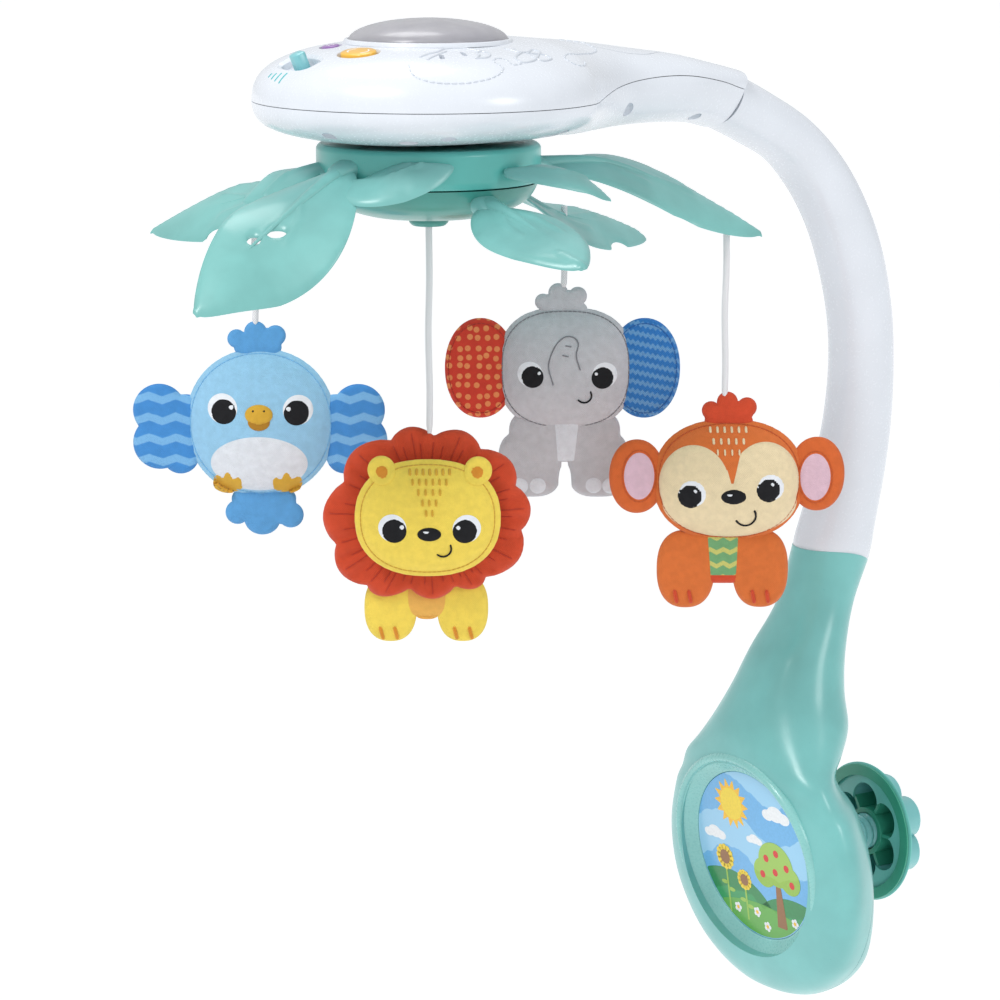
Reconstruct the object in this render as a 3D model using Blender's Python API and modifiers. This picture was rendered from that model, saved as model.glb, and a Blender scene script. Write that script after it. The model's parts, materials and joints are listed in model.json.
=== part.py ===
"""Crib mobile: a teardrop rail clamp, a curved arm, a music and light head, and a leafy carousel with toys.

Units are metres and +Z is up. The rail lies between the rubber pad on the back of the base and the
clamp knob. The origin is the point of the pad's face that bears on the rail, straight above the clamp
stud. +Y points out of the crib, so the arm carries the head over the bed towards -Y.
Heights in the tables below are measured from the stud's axis, which lies STUD_DROP under the origin.
"""
import math

import bmesh
import bpy
from mathutils import Matrix, Vector

MM = 0.001
GAP = 0.3 * MM
STUD_DROP = 17.0 * MM
WALL = 2.5 * MM

# Carousel axis and the direction that the toys face, as a turn about +Z
HUB_Y = -236.0 * MM
FACING = math.radians(55.0)

# Base: height above the stud axis, half width, front, back, squareness of the section (2 is an ellipse),
# and how much narrower the section's rail side is than its middle
BASE_SECTIONS = (
    (-71.0, 14.0, -34.0, -14.0, 2.2, 0.10),
    (-67.0, 27.0, -41.0, -8.0, 2.4, 0.10),
    (-58.0, 41.5, -46.5, -4.5, 2.7, 0.12),
    (-44.0, 54.0, -50.5, -3.2, 2.9, 0.15),
    (-22.0, 62.0, -54.6, -3.0, 2.9, 0.22),
    (2.0, 63.0, -57.2, -3.0, 2.7, 0.29),
    (24.0, 58.0, -59.2, -3.0, 2.4, 0.34),
    (34.0, 53.0, -59.6, -6.0, 2.3, 0.32),
    (43.0, 49.0, -60.7, -8.0, 2.2, 0.30),
    (52.0, 44.0, -61.0, -4.0, 2.1, 0.18),
    (64.0, 38.0, -59.0, -2.5, 2.0, 0.08),
    (80.0, 30.5, -52.5, -3.0, 2.0, 0.0),
    (98.0, 25.0, -43.5, -0.5, 2.0, 0.0),
    (120.0, 20.0, -29.0, 5.5, 2.0, 0.0),
)
NECK_TOP = (-2.6, 144.0)
NECK_LEAN = math.radians(15.0)
NECK_RADIUS = 18.2 * MM
BASE_SIDES = 22
SPLIT_Y = -18.0 * MM
SPLIT_LEAN = math.radians(8.0)
FACE_TILT = math.radians(9.0)
PICTURE_CENTRE = (-47.0 * MM, -1.0 * MM)
PICTURE_RADIUS = 42.5 * MM
RIM_RADIUS = 49.5 * MM
RIM_BEAD = 3.2 * MM
RECESS_DEPTH = 7.0 * MM

# Rail clamp
PAD_RADIUS = 24.0 * MM
PAD_THICKNESS = 5.0 * MM
STUD_RADIUS = 9.0 * MM
STUD_END = 34.5 * MM
THREAD_PITCH = 4.0 * MM
RING_FACE = 21.0 * MM
RING_THICKNESS = 1.0 * MM
FLANGE_RADIUS = 34.5 * MM
FLANGE_THICKNESS = 1.6 * MM
GRIP_RADIUS = 23.4 * MM
GRIP_LOBE = 3.4 * MM
GRIP_LOBES = 6
GRIP_BACK = 38.3 * MM

# Arm: distance along Y, height, half thickness in the arm's plane, half width across it
ARM_SECTIONS = (
    (-2.4, 144.6, 18.0, 18.0),
    (2.9, 163.0, 17.3, 17.3),
    (8.8, 186.0, 16.7, 16.7),
    (13.1, 209.0, 15.9, 15.9),
    (14.8, 235.0, 15.3, 15.3),
    (13.0, 260.0, 15.3, 15.3),
    (6.8, 286.0, 15.4, 15.5),
    (-2.6, 308.2, 14.8, 15.6),
    (-15.8, 328.0, 14.0, 16.0),
    (-33.0, 344.8, 13.0, 16.6),
    (-54.0, 356.5, 13.2, 17.4),
    (-74.7, 366.2, 13.5, 18.0),
)
ARM_SIDES = 16

# Head
HEAD_RADIUS = 77.5 * MM
HEAD_SEAM = 373.0 * MM
HEAD_TOP = 399.5 * MM
HEAD_BOTTOM = 355.0 * MM
HEAD_SIDES = 28
# Neck of the head: distance along Y, half width, top, bottom, and lean of the section (0 is upright)
HEAD_NECK = (
    (-176.0, 49.0, 397.5, 355.0, 0.0),
    (-160.0, 37.5, 396.0, 355.6, 0.0),
    (-146.0, 31.0, 394.2, 356.6, 0.0),
    (-128.0, 28.0, 391.6, 357.4, 0.0),
    (-108.0, 26.0, 388.4, 357.2, 0.1),
    (-91.0, 22.0, 384.0, 355.9, 0.28),
    (-75.5, 18.2, 379.8, 353.2, 0.47),
)
NECK_MIDDLE = 366.2 * MM
DOME_RADIUS = 35.0 * MM
DOME_TOP = 408.5 * MM
SHAFT_RADIUS = 4.0 * MM
SHAFT_Z = (339.0 * MM, 370.0 * MM)

# Carousel
SKIRT_RADIUS = 49.5 * MM
SKIRT_TOP = 353.4 * MM
SKIRT_SEAM = 337.0 * MM
BOWL_BOTTOM = 321.0 * MM
CAP_RADIUS = 8.8 * MM
CAP_BOTTOM = 317.5 * MM
GEAR_MODULE = 1.25 * MM
GEAR_Z = (361.0 * MM, 365.0 * MM)
TEETH = {"drive_gear": 24, "idler_gear": 16, "motor_pinion": 8}

# Leaves: turn round the hub from the toys' right hand, spine as (radius, height), half width, roll
LEAVES = {
    "leaf_front_left": (135.0, ((50.6, 345.5), (70.0, 336.0), (98.0, 320.0), (119.0, 306.0), (136.0, 291.0)),
                        25.0, -35.0),
    "leaf_back_left": (-142.0, ((50.6, 343.0), (74.0, 334.0), (101.0, 324.0), (134.0, 315.0), (167.0, 303.5)),
                       20.0, -14.0),
    "leaf_front_right": (58.0, ((50.0, 330.0), (64.0, 328.5), (84.0, 324.0), (106.0, 318.5), (126.0, 311.5)),
                         21.0, 12.0),
    "leaf_back_right": (-52.0, ((50.6, 341.0), (74.0, 331.0), (100.0, 320.0), (136.0, 308.0), (166.0, 296.0)),
                        17.0, 10.0),
    "leaf_right": (-14.0, ((50.6, 343.0), (76.0, 343.5), (98.0, 337.5), (128.0, 322.0), (154.0, 309.5)),
                   18.0, 12.0),
}
PETALS = (
    (104.0, ((47.6, 343.0), (60.0, 338.0), (72.0, 330.0), (82.0, 321.0)), 11.0, -10.0),
    (22.0, ((47.6, 341.5), (62.0, 337.5), (74.0, 331.0), (87.0, 323.0)), 11.0, 20.0),
    (168.0, ((47.6, 343.0), (60.0, 341.0), (71.0, 337.0), (83.0, 331.0)), 11.0, 0.0),
    (-98.0, ((47.6, 343.0), (60.0, 341.0), (72.0, 336.0), (84.0, 329.0)), 13.0, 0.0),
)
LEAF_THICKNESS = 2.2 * MM
CORD_RADIUS = 1.5 * MM
CORD_DROP = 1.8
# Cords: the leaf that holds it, its distance from the carousel axis, and the height of its lower end
CORDS = {
    "bird": ("leaf_back_left", 103.0, 266.3),
    "elephant": ("leaf_back_right", 99.0, 281.8),
    "monkey": ("leaf_right", 137.4, 237.3),
}
LION_CORD_END = 226.4

PART = bpy.data.collections.new("crib_mobile")
CUTTERS = bpy.data.collections.new("cutters")


# ---------------------------------------------------------------- scene and materials

def clear_scene():
    for item in list(bpy.data.objects):
        bpy.data.objects.remove(item, do_unlink=True)
    for collection in (PART, CUTTERS):
        bpy.context.scene.collection.children.link(collection)


def material(name, colour, roughness=0.4, metallic=0.0, alpha=1.0):
    made = bpy.data.materials.get(name)
    if made:
        return made
    made = bpy.data.materials.new(name)
    made.use_nodes = True
    shader = made.node_tree.nodes["Principled BSDF"]
    shader.inputs["Base Color"].default_value = (*colour, 1.0)
    shader.inputs["Roughness"].default_value = roughness
    shader.inputs["Metallic"].default_value = metallic
    shader.inputs["Alpha"].default_value = alpha
    return made


TEAL = ((0.19, 0.56, 0.53), 0.28)
LEAF_TEAL = ((0.15, 0.48, 0.44), 0.32)
DARK_TEAL = ((0.07, 0.36, 0.32), 0.35)
WHITE = ((0.78, 0.80, 0.86), 0.22)
STEEL = ((0.55, 0.55, 0.57), 0.3, 1.0)
BOARD = ((0.05, 0.25, 0.10), 0.5)
BLACK = ((0.03, 0.03, 0.035), 0.5)
BRASS = ((0.62, 0.47, 0.22), 0.3, 1.0)


def place(item, parent=None):
    """Put an object in the part's collection, under the frame or under its joint's empty."""
    for collection in list(item.users_collection):
        collection.objects.unlink(item)
    PART.objects.link(item)
    if parent is None:
        parent = bpy.data.objects["frame"]
    item.parent = parent
    return item


def as_cutter(item):
    for collection in list(item.users_collection):
        collection.objects.unlink(item)
    CUTTERS.objects.link(item)
    item.parent = bpy.data.objects["frame"]
    item.hide_render = True
    item.display_type = "WIRE"
    return item


def empty(name, location, parent=None, turn=0.0):
    item = bpy.data.objects.new(name, None)
    PART.objects.link(item)
    item.parent = parent
    item.location = location
    item.rotation_euler = (0.0, 0.0, turn)
    return item


def mesh_object(name, mesh, look):
    item = bpy.data.objects.new(name, mesh)
    mesh.materials.append(material(name, *look))
    return item


def boolean(item, cutter, operation="DIFFERENCE"):
    modifier = item.modifiers.new(cutter.name, "BOOLEAN")
    modifier.operation = operation
    modifier.solver = "EXACT"
    modifier.object = cutter


# ---------------------------------------------------------------- shape tools

def superellipse(count, power):
    """Unit superellipse, one point per side."""
    points = []
    for index in range(count):
        angle = 2.0 * math.pi * index / count
        x = math.copysign(abs(math.cos(angle)) ** (2.0 / power), math.cos(angle))
        y = math.copysign(abs(math.sin(angle)) ** (2.0 / power), math.sin(angle))
        points.append((x, y))
    return points


def loft(name, rings, look):
    """Skin a row of equal rings and close both ends."""
    mesh = bpy.data.meshes.new(name)
    work = bmesh.new()
    rows = [[work.verts.new(point) for point in ring] for ring in rings]
    count = len(rows[0])
    for lower, upper in zip(rows, rows[1:]):
        for index in range(count):
            after = (index + 1) % count
            work.faces.new((lower[index], lower[after], upper[after], upper[index]))
    work.faces.new(list(reversed(rows[0])))
    work.faces.new(rows[-1])
    bmesh.ops.recalc_face_normals(work, faces=work.faces)
    work.to_mesh(mesh)
    work.free()
    mesh.shade_smooth()
    mesh.set_sharp_from_angle(angle=math.radians(50.0))
    return mesh_object(name, mesh, look)


def turned(name, profile, look, steps=36, closed=False):
    """Turn a profile of (radius, height) about Z. It runs down its outer side, top to bottom."""
    mesh = bpy.data.meshes.new(name)
    points = [(radius, 0.0, height) for radius, height in profile]
    edges = [(index, index + 1) for index in range(len(points) - 1)]
    if closed:
        edges.append((len(points) - 1, 0))
    mesh.from_pydata(points, edges, [])
    item = mesh_object(name, mesh, look)
    screw = item.modifiers.new("turn", "SCREW")
    screw.axis = "Z"
    screw.steps = steps
    screw.render_steps = steps
    screw.use_merge_vertices = True
    screw.merge_threshold = 0.00001
    screw.use_smooth_shade = True
    return item


def cylinder(name, radius, low, high, look=BLACK, sides=32):
    """Cylinder along Z from one height to another."""
    mesh = bpy.data.meshes.new(name)
    work = bmesh.new()
    middle = Matrix.Translation((0.0, 0.0, (low + high) / 2.0))
    bmesh.ops.create_cone(work, cap_ends=True, segments=sides, radius1=radius, radius2=radius,
                          depth=high - low, matrix=middle)
    work.to_mesh(mesh)
    work.free()
    mesh.shade_smooth()
    mesh.set_sharp_from_angle(angle=math.radians(40.0))
    return mesh_object(name, mesh, look)


def block(name, size, look=BLACK, centre=(0.0, 0.0, 0.0)):
    mesh = bpy.data.meshes.new(name)
    work = bmesh.new()
    bmesh.ops.create_cube(work, size=1.0)
    bmesh.ops.scale(work, vec=size, verts=work.verts)
    bmesh.ops.translate(work, vec=centre, verts=work.verts)
    work.to_mesh(mesh)
    work.free()
    return mesh_object(name, mesh, look)


def plate(name, outlines, thickness, look, rounding=0.0, rows=0):
    """Flat outline in XY, thickness centred on Z = 0. Inner outlines are holes."""
    curve = bpy.data.curves.new(name, "CURVE")
    curve.dimensions = "2D"
    curve.fill_mode = "BOTH"
    curve.extrude = thickness / 2.0 - rounding
    curve.bevel_depth = rounding
    curve.bevel_resolution = rows
    curve.offset = -rounding
    for outline in outlines:
        spline = curve.splines.new("POLY")
        spline.points.add(len(outline) - 1)
        for point, (x, y) in zip(spline.points, outline):
            point.co = (x, y, 0.0, 1.0)
        spline.use_cyclic_u = True
    item = bpy.data.objects.new(name + "_outline", curve)
    bpy.context.scene.collection.objects.link(item)
    bpy.context.view_layer.update()
    shape = item.evaluated_get(bpy.context.evaluated_depsgraph_get())
    mesh = bpy.data.meshes.new_from_object(shape)
    mesh.name = name
    mesh.materials.clear()
    bpy.data.objects.remove(item, do_unlink=True)
    work = bmesh.new()
    work.from_mesh(mesh)
    bmesh.ops.remove_doubles(work, verts=work.verts, dist=0.00001)
    bmesh.ops.recalc_face_normals(work, faces=work.faces)
    work.to_mesh(mesh)
    work.free()
    mesh.shade_smooth()
    mesh.set_sharp_from_angle(angle=math.radians(40.0))
    return mesh_object(name, mesh, look)


def oval(half_width, half_height, centre=(0.0, 0.0), count=20, power=2.0):
    return [(centre[0] + half_width * x, centre[1] + half_height * y)
            for x, y in superellipse(count, power)]


def upright(item, centre, depth=0.0):
    """Stand a flat piece up so that its face looks along -Y, at (x, z) and a depth along Y."""
    item.rotation_euler = (math.radians(90.0), 0.0, 0.0)
    item.location = (centre[0], depth, centre[1])
    return item


def smooth_row(points, steps):
    """Catmull-Rom row through points of any number of values."""
    rows = [Vector(point) for point in points]
    ends = [2.0 * rows[0] - rows[1]] + rows + [2.0 * rows[-1] - rows[-2]]
    found = []
    for index in range(1, len(ends) - 2):
        before, start, finish, after = ends[index - 1:index + 3]
        for step in range(steps):
            t = step / steps
            found.append(0.5 * (2.0 * start + (finish - before) * t
                                + (2.0 * before - 5.0 * start + 4.0 * finish - after) * t ** 2
                                + (3.0 * start - before - 3.0 * finish + after) * t ** 3))
    found.append(rows[-1])
    return found


# ---------------------------------------------------------------- base and rail clamp

def base_rings(side, front, back, ends):
    """Rings of the base, pulled in by a wall at the sides, front, back and both ends."""
    rings = []
    for height, half, near, far, power, taper in BASE_SECTIONS:
        z = height * MM
        z += max(0.0, ends - (z + 71.0 * MM) * 0.3)
        low_y = near * MM + front
        high_y = far * MM - back
        middle = (low_y + high_y) / 2.0
        depth = (high_y - low_y) / 2.0
        width = half * MM - side
        rings.append([(width * x * (1.0 - taper * y), middle + depth * y, z)
                      for x, y in superellipse(BASE_SIDES, power)])
    turn = Matrix.Rotation(-NECK_LEAN, 3, "X")
    centre = Vector((0.0, NECK_TOP[0] * MM, NECK_TOP[1] * MM - ends))
    radius = NECK_RADIUS - side
    ring = [turn @ Vector((radius * x, radius * y, 0.0)) for x, y in superellipse(BASE_SIDES, 2.0)]
    rings.append([tuple(centre + point) for point in ring])
    return rings


def splitter(name, sign):
    """Block on one side of the plane where the two base shells meet."""
    half = block(name, (0.3, 0.2, 0.5), centre=(0.0, sign * (0.1 + GAP / 2.0), 0.0))
    half.location = (0.0, SPLIT_Y, 0.0)
    half.rotation_euler = (-SPLIT_LEAN, 0.0, 0.0)
    return as_cutter(half)


def face_frame(depth=0.0):
    """Matrix whose Z axis is the picture's outward normal and whose origin is the picture's centre."""
    stand = Matrix.Rotation(math.radians(90.0) + FACE_TILT, 4, "X")
    return Matrix.Translation((0.0, *PICTURE_CENTRE)) @ stand @ Matrix.Translation((0.0, 0.0, depth))


def make_base():
    cavity = as_cutter(loft("base_cavity", base_rings(WALL, 11.0 * MM, 5.5 * MM, 4.0 * MM), BLACK))
    front = place(loft("base_front_shell", base_rings(0.0, 0.0, 0.0, 0.0), TEAL))
    back = place(loft("base_back_shell", base_rings(0.0, 0.0, 0.0, 0.0), TEAL))
    boolean(front, splitter("front_half", -1.0), "INTERSECT")
    boolean(back, splitter("back_half", 1.0), "INTERSECT")
    boolean(front, cavity)
    boolean(back, cavity)

    bead_profile = [(RIM_RADIUS + RIM_BEAD * math.cos(a), RIM_BEAD * math.sin(a))
                    for a in (-2.0 * math.pi * k / 6 for k in range(6))]
    bead = as_cutter(turned("rim_bead", bead_profile, TEAL, steps=30, closed=True))
    bead.matrix_local = face_frame(RECESS_DEPTH - RIM_BEAD * 0.4)
    boolean(front, bead, "UNION")
    recess = as_cutter(cylinder("picture_recess", RIM_RADIUS - 2.6 * MM, 0.0, 30.0 * MM, sides=30))
    recess.matrix_local = face_frame(-1.2 * MM)
    boolean(front, recess)
    picture = place(cylinder("picture_disc", PICTURE_RADIUS, 0.0, 1.2 * MM, ((0.35, 0.62, 0.85), 0.3), 32))
    picture.matrix_local = face_frame(-0.9 * MM)

    pad_seat = as_cutter(cylinder("pad_seat", PAD_RADIUS + GAP, -PAD_THICKNESS - GAP, 20.0 * MM))
    pad_seat.rotation_euler = (math.radians(-90.0), 0.0, 0.0)
    boolean(back, pad_seat)
    stud_hole = as_cutter(cylinder("stud_hole", STUD_RADIUS + GAP, -20.0 * MM, 20.0 * MM))
    stud_hole.rotation_euler = (math.radians(-90.0), 0.0, 0.0)
    boolean(back, stud_hole)
    pad = place(cylinder("rail_pad", PAD_RADIUS, -PAD_THICKNESS, 0.0, ((0.12, 0.13, 0.14), 0.8), 24))
    pad.rotation_euler = (math.radians(-90.0), 0.0, 0.0)
    boolean(pad, stud_hole)
    stand = Matrix.Rotation(math.radians(90.0), 4, "X")
    spots = ((-30.0, -42.0), (30.0, -42.0), (0.0, 62.0))
    frames = [Matrix.Translation((x * MM, -10.0 * MM, z * MM)) @ stand for x, z in spots]
    make_screws("base_screw", frames, 9.0 * MM, STEEL, back)


def make_screws(name, frames, length, look, shell):
    """One screw at each frame, along the frame's Z, in a clearance hole through the shell."""
    holes = bmesh.new()
    for index, frame in enumerate(frames):
        screw = place(cylinder("%s_%d" % (name, index + 1), 2.0 * MM, -length / 2.0, length / 2.0, look, 10))
        screw.matrix_local = frame
        bmesh.ops.create_cone(holes, cap_ends=True, segments=12, radius1=2.7 * MM, radius2=2.7 * MM,
                              depth=30.0 * MM, matrix=frame)
    mesh = bpy.data.meshes.new(name + "_holes")
    holes.to_mesh(mesh)
    holes.free()
    boolean(shell, as_cutter(mesh_object(name + "_holes", mesh, look)))


def make_stud():
    """Threaded stud with its head held inside the base."""
    root = STUD_RADIUS - 1.2 * MM
    profile = [(0.0, STUD_END), (root, STUD_END)]
    for index in range(int((STUD_END - 4.0 * MM) / THREAD_PITCH)):
        y = STUD_END - (index + 0.5) * THREAD_PITCH
        profile += [(root, y + 1.4 * MM), (STUD_RADIUS, y), (root, y - 1.4 * MM)]
    profile += [(STUD_RADIUS, 1.0 * MM), (STUD_RADIUS, -9.0 * MM), (14.0 * MM, -9.0 * MM),
                (14.0 * MM, -13.0 * MM), (0.0, -13.0 * MM)]
    stud = place(turned("clamp_stud", profile, TEAL, steps=14))
    stud.rotation_euler = (math.radians(-90.0), 0.0, 0.0)


def flower(radius, lobe, count=48):
    """Outline with round lobes, as a knob grip has."""
    points = []
    for index in range(count):
        angle = 2.0 * math.pi * index / count
        swell = abs(math.sin(angle * GRIP_LOBES / 2.0)) ** 0.7
        reach = radius - lobe + 2.0 * lobe * swell
        points.append((reach * math.cos(angle), reach * math.sin(angle)))
    return points


def make_knob():
    """Clamp knob: a flange, a hollow flower grip with a ribbed threaded boss, and the ring it presses with."""
    carrier = empty("clamp_axis", (0.0, 0.0, 0.0), bpy.data.objects["frame"])
    turn = (math.radians(-90.0), 0.0, 0.0)
    circle = oval(FLANGE_RADIUS - 0.8 * MM, FLANGE_RADIUS - 0.8 * MM, count=28)
    inner = oval(28.2 * MM, 28.2 * MM, count=28)
    ring = place(plate("clamp_ring", [circle, inner], RING_THICKNESS, DARK_TEAL), carrier)
    ring.rotation_euler = turn
    ring.location = (0.0, RING_FACE + RING_THICKNESS / 2.0, 0.0)

    flange_low = RING_FACE + RING_THICKNESS + GAP
    knob = place(cylinder("clamp_knob", FLANGE_RADIUS, flange_low, flange_low + FLANGE_THICKNESS, TEAL, 32),
                 carrier)
    knob.rotation_euler = turn
    grip_depth = GRIP_BACK - flange_low - 0.5 * MM
    grip = as_cutter(plate("grip_body", [flower(GRIP_RADIUS, GRIP_LOBE)], grip_depth, TEAL))
    grip.rotation_euler = turn
    grip.location = (0.0, GRIP_BACK - grip_depth / 2.0, 0.0)
    boolean(knob, grip, "UNION")
    hollow_depth = GRIP_BACK - 2.5 * MM - flange_low + 5.0 * MM
    hollow = as_cutter(plate("grip_hollow", [flower(GRIP_RADIUS - 2.2 * MM, GRIP_LOBE)], hollow_depth, TEAL))
    hollow.rotation_euler = turn
    hollow.location = (0.0, GRIP_BACK - 2.5 * MM - hollow_depth / 2.0, 0.0)
    boolean(knob, hollow)
    spokes = bmesh.new()
    top = GRIP_BACK - 1.0 * MM
    low = flange_low + 4.0 * MM
    for index in range(3):
        spin = Matrix.Rotation(math.radians(60.0 * index), 4, "Z")
        size = Matrix.Diagonal((2.0 * (GRIP_RADIUS - 3.0 * MM), 1.8 * MM, top - low, 1.0))
        bmesh.ops.create_cube(spokes, size=1.0, matrix=Matrix.Translation((0, 0, (top + low) / 2)) @ spin @ size)
    mesh = bpy.data.meshes.new("grip_ribs")
    spokes.to_mesh(mesh)
    spokes.free()
    ribs = as_cutter(mesh_object("grip_ribs", mesh, TEAL))
    ribs.rotation_euler = turn
    boss = as_cutter(cylinder("grip_boss", STUD_RADIUS + 2.6 * MM, flange_low + 0.6 * MM, top, TEAL, 24))
    boss.rotation_euler = turn
    boolean(boss, ribs, "UNION")
    boolean(knob, boss, "UNION")
    bore = as_cutter(cylinder("grip_bore", STUD_RADIUS + GAP, 0.0, 0.1, TEAL, 24))
    bore.rotation_euler = turn
    boolean(knob, bore)


# ---------------------------------------------------------------- arm

def make_arm():
    rows = smooth_row(ARM_SECTIONS, 2)
    rings = []
    for index, row in enumerate(rows):
        before = rows[max(index - 1, 0)]
        after = rows[min(index + 1, len(rows) - 1)]
        along = Vector((0.0, after[0] - before[0], after[1] - before[1])).normalized()
        across = Vector((0.0, -along.z, along.y))
        centre = Vector((0.0, row[0] * MM, row[1] * MM))
        ring = []
        for x, y in superellipse(ARM_SIDES, 2.2):
            ring.append(tuple(centre + Vector((row[3] * MM * x, 0.0, 0.0)) + across * (row[2] * MM * y)))
        rings.append(ring)
    place(loft("arm_tube", rings, WHITE))


# ---------------------------------------------------------------- head

def head_top(radius):
    """Height of the head's round top at a distance from the carousel axis."""
    share = min(abs(radius) / HEAD_RADIUS, 0.999)
    return HEAD_SEAM + (HEAD_TOP - HEAD_SEAM) * (1.0 - share ** 2.5) ** 0.4


def head_bottom(radius):
    share = min(abs(radius) / HEAD_RADIUS, 0.999)
    return HEAD_SEAM - (HEAD_SEAM - HEAD_BOTTOM) * (1.0 - share ** 3.0) ** 0.34


def head_rings(wall):
    """Rings across Y from the far end of the round head to the end of its neck, upper half then lower."""
    rows = []
    for degrees in (8, 22, 38, 54, 72, 90, 108, 126):
        reach = HEAD_RADIUS * math.cos(math.radians(degrees))
        half = HEAD_RADIUS * math.sin(math.radians(degrees))
        top = head_top(reach)
        if reach < 0.0:
            top = max(top, HEAD_TOP - 1.6 * MM * (reach / HEAD_RADIUS) ** 2)
        rows.append((HUB_Y - reach, half, top, head_bottom(reach), 0.0))
    rows += [(y * MM, half * MM, top * MM, bottom * MM, lean) for y, half, top, bottom, lean in HEAD_NECK]
    if wall:
        rows = rows[1:]
    rings = []
    for index, (y, half, top, bottom, lean) in enumerate(rows):
        if wall and index == len(rows) - 1:
            y -= wall
        ring = []
        for x, z in superellipse(HEAD_SIDES, 2.45):
            reach = (top - wall - HEAD_SEAM) if z > 0.0 else (HEAD_SEAM - bottom - wall)
            height = HEAD_SEAM + reach * z
            ring.append(((half - wall) * x, y + lean * (height - NECK_MIDDLE), height))
        rings.append(ring)
    return rings


def surface_frame(x, y, sink=0.0):
    """Matrix with Z along the normal of the head's round top at (x, y)."""
    radius = math.hypot(x, y - HUB_Y)
    slope = (head_top(radius + 0.5 * MM) - head_top(radius - 0.5 * MM)) / MM
    outward = Vector((x, y - HUB_Y, 0.0)).normalized()
    normal = (Vector((0.0, 0.0, 1.0)) - outward * slope).normalized()
    across = Vector((0.0, 0.0, 1.0)).cross(outward)
    turn = Matrix((across, normal.cross(across), normal)).transposed().to_4x4()
    return Matrix.Translation((x, y, head_top(radius))) @ turn @ Matrix.Translation((0.0, 0.0, sink))


def make_head_shells():
    """Upper and lower shells, and the battery door cut out of the upper one."""
    cavity = as_cutter(loft("head_cavity", head_rings(WALL), BLACK))
    above = as_cutter(block("upper_half", (0.3, 0.5, 0.1), centre=(0.0, -0.2, HEAD_SEAM + 0.05 + GAP / 2.0)))
    below = as_cutter(block("lower_half", (0.3, 0.5, 0.1), centre=(0.0, -0.2, HEAD_SEAM - 0.05 - GAP / 2.0)))
    upper = place(loft("head_upper_shell", head_rings(0.0), WHITE))
    lower = place(loft("head_lower_shell", head_rings(0.0), WHITE))
    door = place(loft("battery_door", head_rings(0.0), WHITE))
    for item, half in ((upper, above), (lower, below), (door, above)):
        boolean(item, half, "INTERSECT")
        boolean(item, cavity)

    hole = as_cutter(cylinder("dome_hole", DOME_RADIUS + GAP + 0.2 * MM, 385.0 * MM, 420.0 * MM, sides=30))
    hole.location = (0.0, HUB_Y, 0.0)
    boolean(upper, hole)
    shaft_hole = as_cutter(cylinder("shaft_hole", SHAFT_RADIUS + 1.5 * MM, 350.0 * MM, 362.0 * MM))
    shaft_hole.location = (0.0, HUB_Y, 0.0)
    boolean(lower, shaft_hole)

    outline = [(-20.0, -172.0), (20.0, -172.0), (20.0, -128.0), (6.0, -110.0), (-6.0, -110.0), (-20.0, -128.0)]
    for item, grow, operation in ((upper, GAP, "DIFFERENCE"), (door, 0.0, "INTERSECT")):
        points = [(x * MM + math.copysign(grow, x), y * MM + (grow if y > -120.0 else -grow)) for x, y in outline]
        prism = as_cutter(plate(item.name + "_bay", [points], 40.0 * MM, BLACK))
        prism.location = (0.0, 0.0, 400.0 * MM)
        boolean(item, prism, operation)
    screw_hole = as_cutter(cylinder("door_screw_hole", 2.0 * MM, 370.0 * MM, 400.0 * MM, sides=16))
    screw_hole.location = (0.0, -115.0 * MM, 0.0)
    boolean(door, screw_hole)
    screw = place(cylinder("battery_door_screw", 1.7 * MM, 377.5 * MM, 388.6 * MM, STEEL, 12))
    screw.location = (0.0, -115.0 * MM, 0.0)
    return upper, lower


def make_dome():
    rise = DOME_TOP - HEAD_TOP
    outer = [(DOME_RADIUS * math.sin(a), HEAD_TOP - 0.5 * MM + (rise + 0.5 * MM) * math.cos(a))
             for a in (math.pi / 2 * k / 4 for k in range(5))]
    inner = [((DOME_RADIUS - 2.0 * MM) * math.sin(a), HEAD_TOP - 0.5 * MM + (rise - 1.5 * MM) * math.cos(a))
             for a in (math.pi / 2 * k / 4 for k in range(4, -1, -1))]
    foot = 395.5 * MM
    profile = outer + [(DOME_RADIUS, foot), (DOME_RADIUS - 2.0 * MM, foot)] + inner
    dome = place(turned("dome_lens", profile, ((0.62, 0.60, 0.62), 0.2), steps=30))
    dome.location = (0.0, HUB_Y, 0.0)


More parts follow.
